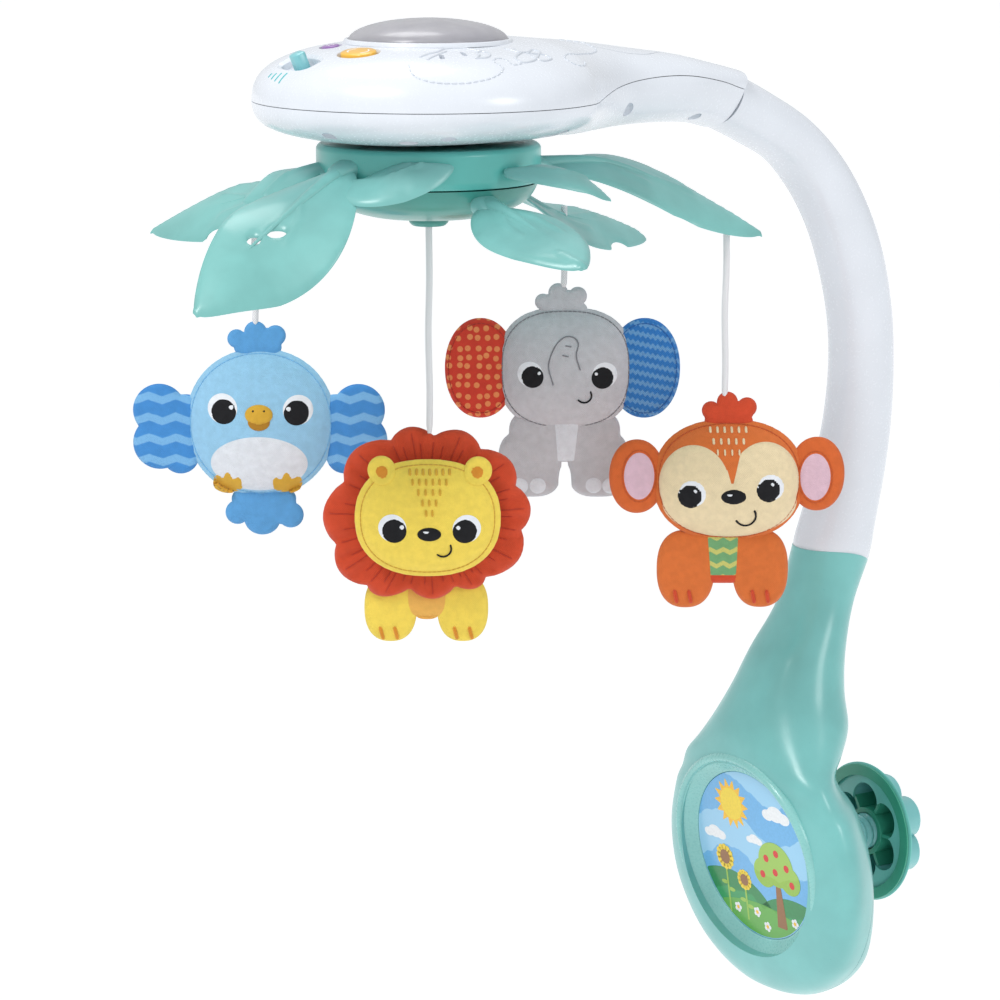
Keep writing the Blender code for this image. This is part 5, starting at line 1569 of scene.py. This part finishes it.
def make_lion(looks):
    place = toy_frame("lion")
    outline = mane_outline()

    def folds(points):
        dx, dz = points[:, 0] + 1.0, points[:, 1] + 40.0
        angle = np.arctan2(dz, dx)
        return 0.8 * np.sin(angle * 22.0 + 1.6 * np.sin(angle * 7.0)) * np.clip((np.hypot(dx,
                dz) - 26.0) / 12.0, 0.0, 1.0)

    mane = felt("lion_mane_felt", polygon(outline), (-53.0, -82.0, 52.0, 1.0), looks["mane"], place, 4.0, 3.4,
                1.3, 0.8,
                folds)
    finish(mane, "lion", "lion_red", "lion_mane")
    dresser = Dresser(mane, "lion", place)
    # Painted shade: darker red lines laid along the mane's folds as thin threads stand in for the shade in its
    # creases.
    lines = []
    for index, point in enumerate(outline):
        if index % 5 in (0, 2):
            way = point - np.array((-1.0, -40.0))
            long = 0.93 if index % 5 == 0 else 0.82
            lines.append([np.array((-1.0, -40.0)) + way * share for share in (0.66, 0.72, 0.78, long)])
    dresser.threads("lion_mane_creases", lines, 0.32, looks["mane_fold_shade"], "lion_red")

    legs = union(ellipse(-18.0, -83.4, 11.8, 15.4, 2.4), ellipse(14.6, -83.4, 11.5, 15.4, 2.4),
                 ellipse(-2.0, -77.0, 18.0, 10.6, 3.0))
    lower = felt("lion_lower", legs, (-31.0, -100.0, 27.0, -66.0), looks["lion"], place, 3.4, 7.6, 1.2, 0.9)
    finish(lower, "lion", "lion_yellow", "lion_legs")
    low = Dresser(lower, "lion", place)
    chest = (ellipse(-1.6, -77.0, 8.4, 11.4, 2.6), (-11.0, -89.0, 8.0, -65.0))
    low.patch("lion_chest", [chest], looks["lion_chest"], "lion_yellow", 0.3)
    claws = [[(x - 0.5, -92.8), (x + 0.5, -96.8)] for x in (-22.0, -15.5, 11.4, 18.2)]
    low.threads("lion_claws", claws, 1.1, looks["lion_orange"], "lion_yellow")

    face = common(ellipse(-0.8, -39.4, 32.6, 26.6, 2.3))
    head = cushion("lion_cushion", face, (-34.0, -67.0, 33.0, -12.0), looks["lion"], place, 19.0, depth=-7.0)
    dresser = Dresser(head, "lion", place)
    dresser.patch("lion_ears", [disc(-21.3, -17.6, 6.2), disc(21.7, -17.9, 6.2)], looks["lion"],
                  "lion_yellow", 1.0)
    dresser.patch("lion_ear_insides", [disc(-21.0, -18.2, 3.2), disc(21.4, -18.4, 3.2)], looks["lion_orange"],
                  "lion_yellow", 1.25, 0.6)
    dresser.threads("lion_brow", dashes(((-18.0, -8.6, 9.0, 7), (-22.2, -7.4, 7.6, 6), (-26.6, -4.8, 4.8, 4),
                                         (-31.2, -3.0, 3.0, 3), (-35.8, -1.4, 1.4, 2))), 0.7, looks["ochre"],
                    "lion_yellow")
    dresser.patch("lion_nose", [disc(0.0, -45.4, 5.3, 3.1)], looks["black"], "cord", 0.6)
    dresser.patch("lion_nose_shine", [disc(-1.5, -44.3, 1.9, 0.9)], looks["white"], "cord", 0.8, 0.5)
    dresser.threads("lion_mouth", [arc(6.1, -52.2, 3.7, -130.0, 25.0)], 0.55,
                    looks["black"], "cord")
    eyes(dresser, "lion", looks, ((-15.6, -43.9), (-16.9, -42.0), (-12.2, -42.2)),
         ((15.9, -44.1), (17.1, -42.3), (12.9, -42.4)), 5.5, 6.3, 1.2)
    dresser.threads("lion_seam", [inset_line(face, (-0.8, -39.4), 2.2)], 0.34, looks["thread_gold"],
                    "lion_yellow", 2.2)
    finish(head, "lion", "lion_yellow", "lion_face")


def jagged(pitch, width, colour):
    """Printed slanting stripes with toothed edges, for fabric(draw=...)."""
    def draw(look, base):
        tooth = (look.x * (1.0 / 2.3) + 100.0).do("PINGPONG", 0.5) * 2.6
        place = (look.z + tooth + look.x * 0.22) * (1.0 / pitch) + 100.0
        stripe = place.do("FRACT") - 0.5
        return look.mix(stripe.size().step(width / pitch / 2.0, 0.07) * -1.0 + 1.0, base, colour)
    return draw


def make_elephant(looks):
    place = toy_frame("elephant")
    tuft = union(ellipse(-9.6, -9.6, 3.8, 3.8), ellipse(-2.6, -5.5, 4.6, 4.6), ellipse(6.5, -6.9, 4.3, 4.3),
                 ellipse(0.0, -13.0, 11.0, 5.0))
    crest = felt("elephant_tuft_felt", tuft, (-14.0, -18.0, 13.0, 0.0), looks["grey"], place, 2.8, 0.4, 1.0,
                 0.6)
    finish(crest, "elephant", "elephant_grey")
    for side, x, look, slot in (("left", -38.6, "ear_red", "ear_red"),
                                ("right", 37.6, "ear_blue", "ear_blue")):
        field = ellipse(x, -40.6, 16.6, 23.4, 2.1)
        ear = felt("elephant_%s_ear" % side, field, (x - 17.0, -65.0, x + 17.0, -16.0), looks[look], place,
                   2.8, 0.6, 1.2,
                   1.2)
        finish(ear, "elephant", slot, "elephant_ear_" + side)
        Dresser(ear, "elephant", place).threads("elephant_%s_ear_seam" % side,
                                                [inset_line(field, (x, -40.6), 1.7)], 0.28,
                                                looks[look + "_thread"],
                                                slot, 2.2)
    panel = without(union(ellipse(-15.6, -86.0, 14.8, 15.6, 3.0), ellipse(16.4, -86.0, 14.2, 15.6, 3.0),
                          ellipse(0.6, -72.0, 26.0, 13.0, 3.0)), ellipse(0.8, -101.0, 3.1, 14.5, 3.0))
    lower = felt("elephant_lower", panel, (-32.0, -103.0, 32.0, -58.0), looks["grey"], place, 4.0, 1.4, 1.2,
                 1.6)
    finish(lower, "elephant", "elephant_grey", "elephant_legs")
    low = Dresser(lower, "elephant", place)
    chest = polygon(((-4.0, -66.0), (7.0, -66.0), (5.0, -84.4), (-2.6, -84.4)))
    low.patch("elephant_chest", [(chest, (-5.0, -85.0, 8.0, -65.0))], looks["white_cloth"], "cord", 0.3)
    toes = [disc(-20.3, -96.2, 3.9, 3.9), disc(-11.9, -96.0, 3.8, 3.8), disc(14.2, -95.8, 3.8, 3.8),
            disc(22.0, -96.0, 3.8, 3.8)]
    toes = [(common(field, lambda x, z: -(z + 100.2)), box) for field, box in toes]
    low.patch("elephant_toes", toes, looks["white_cloth"], "cord", 0.4)

    face = ellipse(0.9, -40.8, 31.4, 28.8, 2.6)
    head = cushion("elephant_cushion", face, (-32.0, -71.0, 34.0, -11.0), looks["grey"], place, 24.0)
    dresser = Dresser(head, "elephant", place)
    trunk = smooth_row([np.array(spot) for spot in ((-5.0, -46.8), (-7.1, -38.0), (-4.3, -29.5), (0.1, -25.0),
                                                    (4.5, -25.0),
                                                    (6.7, -28.0), (5.7, -33.5), (7.5, -39.8))], 6)
    dresser.threads("elephant_trunk", [np.array(trunk), [(1.0, -28.8), (3.2, -29.2)], [(-0.4, -33.2), (1.8,
            -33.7)]], 0.4,
                    looks["thread_dark"], "elephant_grey")
    dresser.threads("elephant_mouth", [arc(9.5, -52.2, 3.4, -140.0, 30.0)], 0.55, looks["black"], "cord")
    eyes(dresser, "elephant", looks, ((-14.6, -43.3), (-16.3, -41.4), (-11.5, -41.6)),
         ((18.0, -43.8), (19.5, -41.8), (15.0, -41.9)), 5.2, 5.9, 1.1)
    dresser.threads("elephant_seam", [inset_line(face, (0.9, -40.8), 1.8)], 0.34, looks["thread_dark"],
                    "elephant_grey",
                    2.2)
    finish(head, "elephant", "elephant_grey", "elephant_head")


def make_monkey(looks):
    place = toy_frame("monkey")
    tuft = union(ellipse(-6.1, -10.2, 4.2, 4.2), ellipse(1.3, -6.4, 4.8, 4.8), ellipse(10.2, -8.7, 4.5, 4.5),
                 ellipse(2.0, -15.0, 11.0, 5.6))
    crest = felt("monkey_tuft_felt", tuft, (-12.0, -20.0, 17.0, 0.0), looks["mane"], place, 2.8, 0.4, 1.0,
                 0.6)
    finish(crest, "monkey", "monkey_orange")
    for side, x, z, pink in (("left", -39.6, -40.6, (-38.6, -40.2)), ("right", 42.4, -39.4, (41.6, -40.6))):
        field = ellipse(x, z, 12.6, 17.0, 2.1)
        ear = felt("monkey_%s_ear" % side, field, (x - 14.0, z - 18.0, x + 14.0, z + 18.0),
                   looks["monkey_ear"], place,
                   2.8, 0.6, 1.2, 1.3)
        finish(ear, "monkey", "monkey_orange", "monkey_ear_" + side)
        dresser = Dresser(ear, "monkey", place)
        dresser.patch("monkey_%s_ear_inside" % side, [disc(pink[0], pink[1], 6.9, 10.8)], looks["pink"],
                      "monkey_orange", 0.3)
        dresser.threads("monkey_%s_ear_seam" % side, [inset_line(ellipse(*pink, 6.9, 10.8), pink, -0.7)],
                        0.28,
                        looks["thread_orange"], "monkey_orange", 2.0)
    panel = union(ellipse(-17.0, -83.8, 13.2, 18.0, 2.4), ellipse(17.2, -83.6, 12.7, 18.0, 2.4),
                  ellipse(0.2, -77.0, 18.0, 13.4, 3.0))
    lower = felt("monkey_lower", panel, (-32.0, -103.0, 31.0, -62.0), looks["monkey"], place, 4.0, 1.6, 1.2,
                 1.6)
    finish(lower, "monkey", "monkey_orange", "monkey_legs")
    low = Dresser(lower, "monkey", place)
    low.patch("monkey_chest", [(polygon(((-7.2, -67.0), (6.8, -67.0), (6.0, -86.3), (-5.6, -86.3))),
                                (-8.0, -87.0, 8.0, -66.0))], looks["chest"], "monkey_orange", 0.3)
    low.patch("monkey_belt", [(polygon(((-5.8, -86.3), (6.2, -86.3), (5.4, -90.2), (-4.8, -90.2))),
                               (-7.0, -91.0, 7.0, -86.0))], looks["mane"], "monkey_orange", 0.3)
    low.threads("monkey_claws", [[(x - 0.4, -94.2), (x + 0.4, -98.4)] for x in (-21.5, -15.0, 14.0, 20.5)],
                1.2,
                looks["mane"], "monkey_orange")

    face = ellipse(2.2, -42.2, 34.4, 28.2, 2.3)
    head = cushion("monkey_cushion", face, (-34.0, -72.0, 38.0, -13.0), looks["monkey"], place, 24.0)
    dresser = Dresser(head, "monkey", place)
    mask = without(union(ellipse(-13.8, -43.4, 15.8, 18.4), ellipse(18.0, -42.2, 16.1, 18.6),
                         ellipse(2.6, -52.0, 30.6, 16.2)),
                   polygon(((-3.4, -21.0), (8.6, -21.0), (3.4, -44.0))))
    dresser.patch("monkey_mask", [(mask, (-32.0, -70.0, 36.0, -23.0))], looks["mask"], "monkey_orange", 0.35,
                  1.0)
    dresser.threads("monkey_brow", dashes(((-18.4, -6.6, 9.6, 6), (-23.2, -5.2, 8.4, 5), (-28.0, -3.4, 6.4,
                                                                                          4))), 0.6,
                    looks["mask"], "monkey_orange", lift=0.15)
    dresser.patch("monkey_nose", [disc(4.0, -48.2, 5.9, 3.6)], looks["black"], "cord", 0.8)
    dresser.patch("monkey_nose_shine", [disc(2.1, -47.2, 1.9, 0.9)], looks["white"], "cord", 1.05, 0.5)
    dresser.threads("monkey_mouth", [arc(9.6, -57.4, 4.7, -150.0, 30.0)], 0.6, looks["black"], "cord",
                    lift=0.35)
    eyes(dresser, "monkey", looks, ((-15.6, -48.0), (-14.2, -46.4), (-13.4, -45.6)),
         ((20.0, -45.2), (21.4, -43.6), (21.6, -42.6)), 5.9, 6.6, 1.2, 0.4)
    dresser.threads("monkey_seam", [inset_line(face, (2.2, -42.2), 2.0)], 0.34, looks["thread_orange"],
                    "monkey_orange", 2.2)
    finish(head, "monkey", "monkey_orange", "monkey_head")


# ---------------------------------------------------------------- cords

def braid(name, colour):
    """Plaited cord: slanting strands round its own axis, with painted shade in the grooves between them."""
    look = Look(name)
    angle = look.y.do("ARCTAN2", look.x)
    first = (angle * 4.0 + look.z * 2.6).sine()
    second = (angle * 4.0 - look.z * 2.6).sine()
    plait = (first * second).size()
    # Painted shade: the grooves between the strands are drawn darker.
    look.colour(look.mix(plait.step(0.25, 0.5), shade(colour, 0.74), colour))
    look.set(Roughness=look.noise(0.8) * 0.15 + 0.72)
    look.set(Sheen_Weight=0.3, Sheen_Roughness=0.5)
    look.bump(plait, 0.25, 0.8)
    return look.made


def make_cords(look):
    """Each toy hangs limp on one cord, from its leaf or the hub's cap down to its crown."""
    for animal in ("bird", "lion", "elephant", "monkey"):
        node = animal + "_cord"
        top = Vector(JOINTS[animal + "_swing"]["pos_m"])
        low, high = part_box(node)
        length = high.z - low.z + CORD_TUCK * MM
        data = bpy.data.curves.new(node, "CURVE")
        data.dimensions = "3D"
        data.bevel_depth = CORD_DIAMETER / 2.0 * MM
        data.bevel_resolution = 5
        data.use_fill_caps = True
        spline = data.splines.new("POLY")
        count = 25
        spline.points.add(count - 1)
        for index, point in enumerate(spline.points):
            share = index / (count - 1)
            if share > 0.99:
                point.radius = SEWN_END
            sway = 0.35 * MM * math.sin(share * 9.0) * math.sin(math.pi * share)
            point.co = (sway * math.cos(FACING), sway * math.sin(FACING), -length * share, 1.0)
        cord = bpy.data.objects.new(animal + "_string", data)
        bpy.context.scene.collection.objects.link(cord)
        cord.matrix_world = Matrix.Translation((top.x, top.y, high.z))
        data.materials.append(look)
        finish(cord, node, "cord", node)


# ---------------------------------------------------------------- printed picture, in its own plane

def picture_layer(name, fields, look, level, step=1.0):
    """Inked shapes clipped to the round picture; each level lies a hair above the one before."""
    rim = ellipse(0.0, 0.0, PICTURE_RADIUS - 0.6, PICTURE_RADIUS - 0.6)
    shape = Shape()
    for field, box in fields:
        points, quads, _ = cells(common(field, rim), box, step)
        if len(quads) == 0:
            continue
        high = PICTURE_FACE + 0.04 * level
        top = np.column_stack([points, np.full(len(points), high)])
        bottom = np.column_stack([points, np.full(len(points), high - 0.04 - 0.02 * level)])
        piece = slab(top, bottom, quads)
        shape.add(np.vstack(piece.points), piece.faces)
    finish(make(name, shape, look, face_frame(), sharp=60.0), "stand", "picture")


def blob(*circles):
    fields = [ellipse(x, y, half_x, half_y) for x, y, half_x, half_y in circles]
    box = (min(c[0] - c[2] for c in circles), min(c[1] - c[3] for c in circles),
           max(c[0] + c[2] for c in circles), max(c[1] + c[3] for c in circles))
    return union(*fields), box


def shape_of(points):
    points = np.asarray(points, float)
    return polygon(points), (*points.min(0), *points.max(0))


def star(x, y, inner, outer, count, turn=0.0):
    points = []
    for index in range(2 * count):
        reach = outer if index % 2 == 0 else inner
        angle = math.pi * index / count + turn
        points.append((x + reach * math.cos(angle), y + reach * math.sin(angle)))
    return shape_of(points)


def ink(name, colour, second=None, wave=6.0):
    """Printed ink with faint paper grain, and soft curved patches of a second colour."""
    look = Look(name)
    base = look.mix(look.noise(1.2).step(0.5, 0.5), shade(colour, 0.95), shade(colour, 1.04))
    if second:
        rows = ((look.x * 0.09).sine() * wave + look.y + look.noise(14.0) * 10.0) * 0.16
        base = look.mix(rows.sine().step(0.0, 0.12), base, second)
    look.colour(base)
    look.set(Roughness=look.noise(0.9) * 0.08 + 0.2)
    look.set(Coat_Weight=0.35, Coat_Roughness=0.12)
    look.bump(look.noise(0.35), 0.01, 0.2)
    return look.made


def mound(x, top, half_x, half_y):
    """Rounded hilltop that runs down out of the picture."""
    box = (max(x - half_x, -PICTURE_RADIUS), -PICTURE_RADIUS, min(x + half_x, PICTURE_RADIUS), top)
    return ellipse(x, top - half_y, half_x, half_y), box


def cloud(x, y, size):
    return blob((x, y, 6.0 * size, 4.0 * size), (x - 6.0 * size, y - 1.5 * size, 4.2 * size, 2.8 * size),
                (x + 6.0 * size, y - 1.2 * size, 4.6 * size, 3.0 * size))


def petals(x, y, reach, radius, count):
    """Round petals set evenly about a flower's heart."""
    turns = [2.0 * math.pi * index / count for index in range(count)]
    return [disc(x + reach * math.cos(turn), y + reach * math.sin(turn), radius) for turn in turns]


def make_picture():
    """Plain meadow: hills, one tree, sunflowers, daisies, clouds and a sun."""
    sky = ink("sky", (0.16, 0.46, 0.80), (0.34, 0.64, 0.88))
    profile = round_profile(((0.05, -0.9), (PICTURE_RADIUS, -0.9), (PICTURE_RADIUS, PICTURE_FACE),
                             (0.05, PICTURE_FACE)), 0.3)
    finish(make("picture_plate", loft(turned(profile)), sky, face_frame()), "stand", "picture",
           "picture_disc")
    white = ink("ink_white", (0.86, 0.88, 0.90))
    yellow = ink("ink_yellow", (0.90, 0.66, 0.03))
    gold = ink("ink_gold", (0.92, 0.52, 0.02))
    brown = ink("ink_brown", (0.30, 0.13, 0.04))
    hill = ink("ink_hill", (0.03, 0.26, 0.08), (0.04, 0.34, 0.11), 3.0)
    lime = ink("ink_lime", (0.30, 0.52, 0.06), (0.34, 0.57, 0.09), 3.0)
    moss = ink("ink_moss", (0.10, 0.38, 0.05), (0.13, 0.43, 0.07), 3.0)
    red = ink("ink_red", (0.68, 0.02, 0.015))

    picture_layer("clouds", [cloud(21.0, 26.0, 1.0), cloud(-29.0, 6.0, 0.8), cloud(2.0, 9.0, 0.6)], white, 1)
    picture_layer("sun_rays", [star(-13.0, 24.0, 8.6, 13.2, 14)], gold, 1, 0.6)
    picture_layer("sun", [disc(-13.0, 24.0, 8.2)], yellow, 2, 0.8)
    picture_layer("far_hills", [mound(-22.0, -12.0, 36.0, 26.0), mound(28.0, -17.0, 34.0, 24.0)], hill, 1)
    picture_layer("meadow", [mound(0.0, -25.0, 60.0, 34.0)], moss, 2)
    picture_layer("trunk", [shape_of(((13.2, -34.0), (20.8, -34.0), (18.8, -12.0), (15.2, -12.0)))], brown, 3)
    picture_layer("treetop", [blob((17.0, -1.0, 13.0, 11.5), (7.5, -7.0, 8.0, 7.5), (26.5, -7.0, 8.0, 7.5))],
                  lime, 4)
    apples = ((10.0, 1.0), (18.0, 5.0), (25.0, -1.0), (16.0, -5.0), (6.0, -8.0), (28.0, -9.0))
    picture_layer("apples", [disc(x, y, 1.9) for x, y in apples], red, 5, 0.5)

    stems = []
    blades = []
    rings = []
    hearts = []
    for x, y, size in ((-23.0, -6.0, 6.2), (-9.5, -15.0, 5.0)):
        stems.append(shape_of(((x - 0.6, -36.0), (x + 0.6, -36.0), (x + 0.6, y), (x - 0.6, y))))
        blades += [disc(x - 2.6, y - 2.2 * size, 2.4, 1.1), disc(x + 2.6, y - 2.7 * size, 2.4, 1.1)]
        rings += petals(x, y, 0.78 * size, 0.30 * size, 12)
        hearts.append(disc(x, y, 0.6 * size))
    picture_layer("sunflower_stems", stems + blades, lime, 3, 0.5)
    picture_layer("sunflower_petals", rings, yellow, 4, 0.5)
    picture_layer("sunflower_hearts", hearts, brown, 5, 0.5)
    daisies = ((-17.0, -31.0), (-2.0, -30.0), (5.0, -36.0), (27.0, -29.0))
    picture_layer("daisies", [petal for x, y in daisies for petal in petals(x, y, 1.6, 1.1, 5)], white, 4,
                  0.45)
    picture_layer("daisy_hearts", [disc(x, y, 1.0) for x, y in daisies], gold, 5, 0.4)


# ---------------------------------------------------------------- carried-over CAD nodes

def paint_inside(white):
    """Give every CAD node that stays in view or inside its own procedural finish."""
    looks = {
        "steel": metal("screw_steel", (0.60, 0.61, 0.63)),
        "battery": metal("cell_sleeve", (0.46, 0.40, 0.22), 0.4),
        "board": plastic("board_mask", (0.04, 0.22, 0.09), 0.4, 0.15),
        "black": plastic("speaker_black", (0.03, 0.03, 0.035), 0.6, 0.2, 0.0),
        "gear": plastic("acetal", (0.80, 0.79, 0.74), 0.45, 0.05, 0.0),
        "film": plastic("pattern_film", (0.50, 0.50, 0.56), 0.55, 0.30, 0.0),
        "rubber": plastic("rail_rubber", (0.05, 0.055, 0.06), 0.8, 0.25, 0.0),
    }
    slots = {part["node"]: part["material_slot"] for part in RECORD["subparts"]}
    for node, slot in slots.items():
        item = frame["nodes"][node]
        look = looks.get(slot, white)
        item.data.materials.clear()
        item.data.materials.append(look)


def cloth_looks():
    white = (0.80, 0.82, 0.86)
    looks = {
        "bird": fabric("bird_knit", (0.30, 0.56, 0.77)),
        "bird_dark": fabric("bird_felt", (0.11, 0.35, 0.68)),
        "bird_pale": fabric("belly_knit", (0.72, 0.75, 0.80)),
        "wing": fabric("wing_print", (0.06, 0.26, 0.62), draw=bands(9.7, 3.7, 2.2, 12.4, (0.20, 0.46, 0.76))),
        "ochre": fabric("beak_felt", (0.66, 0.38, 0.04), 0.6, 0.12),
        "ochre_dark": fabric("beak_shadow_felt", (0.42, 0.20, 0.02), 0.6, 0.12),
        "mane": fabric("mane_felt", (0.62, 0.07, 0.026)),
        # Painted shade for the mane's creases.
        "mane_fold_shade": fabric("mane_crease_shade", (0.48, 0.045, 0.02), 0.6, 0.1),
        "lion": fabric("lion_knit", (0.86, 0.65, 0.10)),
        "lion_orange": fabric("lion_inner", (0.70, 0.27, 0.03)),
        "lion_chest": fabric("lion_chest_knit", (0.80, 0.44, 0.10)),
        "grey": fabric("elephant_knit", (0.55, 0.55, 0.58)),
        "ear_red": fabric("ear_dots", (0.63, 0.05, 0.028), draw=dots(4.5, 1.35, (0.80, 0.28, 0.10))),
        "ear_blue": fabric("ear_zigzag", (0.035, 0.20, 0.56), draw=jagged(4.55, 2.0, (0.15, 0.36, 0.66))),
        "ear_red_thread": fabric("ear_red_thread", (0.40, 0.03, 0.02), 0.4, 0.08),
        "ear_blue_thread": fabric("ear_blue_thread", (0.02, 0.12, 0.40), 0.4, 0.08),
        "white_cloth": fabric("white_felt", (0.72, 0.75, 0.80)),
        "monkey": fabric("monkey_knit", (0.68, 0.165, 0.038)),
        "monkey_ear": fabric("monkey_ear_knit", (0.64, 0.13, 0.03)),
        "pink": fabric("ear_lining", (0.68, 0.46, 0.54)),
        "mask": fabric("mask_knit", (0.80, 0.66, 0.42)),
        "chest": fabric("chest_print", (0.17, 0.38, 0.17),
                        draw=bands(6.4, 2.2, 1.6, 6.0, (0.60, 0.57, 0.16))),
        "thread_blue": fabric("blue_thread", (0.20, 0.48, 0.76), 0.4, 0.08),
        "thread_gold": fabric("gold_thread", (0.62, 0.36, 0.05), 0.4, 0.08),
        "thread_dark": fabric("dark_thread", (0.22, 0.22, 0.24), 0.4, 0.08),
        "thread_orange": fabric("orange_thread", (0.50, 0.09, 0.02), 0.4, 0.08),
        "white": fabric("eye_white", white, 0.5, 0.08, 0.1, 0.05),
        "black": fabric("eye_black", (0.012, 0.012, 0.014), 0.5, 0.08, 0.05, 0.2),
    }
    return looks


def dome_plastic(name):
    """Smoky translucent plastic with fine swirls."""
    look = Look(name)
    look.colour(look.mix(look.noise(9.0).step(0.5, 0.5), (0.60, 0.59, 0.64), (0.70, 0.69, 0.73)))
    look.set(Roughness=look.noise(2.0) * 0.14 + 0.24)
    look.set(Transmission_Weight=0.55, IOR=1.46, Coat_Weight=0.3, Coat_Roughness=0.1)
    look.bump(look.noise(1.0), 0.03, 0.2)
    return look.made


def main():
    make_camera()
    make_studio()
    teal = plastic("teal_shell", (0.19, 0.52, 0.50), 0.3)
    # Painted highlight: a lighter copy of the base teal for the picture rim.
    rim_highlight_teal = plastic("rim_highlight_teal", (0.26, 0.59, 0.56), 0.28)
    leaf_teal = plastic("leaf_teal", (0.185, 0.47, 0.445), 0.36, 0.08)
    # Painted shade: the skirt and the bowl, which also serves the cap, are the leaves' plastic drawn darker.
    skirt_shade_teal = plastic("skirt_shade_teal", (0.10, 0.45, 0.41), 0.3)
    bowl_shade_teal = plastic("bowl_shade_teal", (0.05, 0.28, 0.24), 0.32)
    # Painted light: a lighter teal for the flange, which faces away from the lamps.
    flange_lit_teal = plastic("flange_lit_teal", (0.19, 0.58, 0.52), 0.32)
    # Dark teal: the pressing ring's own colour, and painted shade for the boss and ribs in the knob's hollow.
    dark_teal_and_hollow_shade = plastic("dark_teal_and_hollow_shade", (0.05, 0.36, 0.24), 0.34)
    grip_teal = plastic("grip_teal", (0.20, 0.56, 0.56), 0.3)
    white = plastic("white_shell", (0.73, 0.765, 0.82), 0.26, 0.02)
    mark_white = plastic("sign_white", (0.84, 0.85, 0.86), 0.4)
    # Painted shade: the raised trail and wings are the shell's white drawn greyer for their shadows.
    embossed = plastic("embossing_shade_white", (0.62, 0.66, 0.72), 0.3, 0.02)
    mark_teal = plastic("sign_teal", (0.10, 0.50, 0.52), 0.4)
    yellow = plastic("button_yellow", (0.84, 0.47, 0.05), 0.3)
    purple = plastic("button_purple", (0.30, 0.15, 0.42), 0.3)
    slider = plastic("slider_teal", (0.21, 0.54, 0.58), 0.3)
    paint_inside(white)
    make_cords(braid("cord_braid", (0.90, 0.89, 0.91)))
    make_base(teal, rim_highlight_teal)
    make_picture()
    make_clamp(grip_teal, dark_teal_and_hollow_shade, flange_lit_teal)
    make_arm(white)
    head = make_head(white)
    make_head_screws(metal("pan_screw_steel", (0.60, 0.61, 0.63)))
    make_dome(dome_plastic("smoky_dome"), white)
    make_controls(yellow, purple, slider, mark_white)
    make_embossing(head, embossed, mark_teal)
    make_carousel(leaf_teal, skirt_shade_teal, bowl_shade_teal)
    looks = cloth_looks()
    make_bird(looks)
    make_lion(looks)
    make_elephant(looks)
    make_monkey(looks)


main()
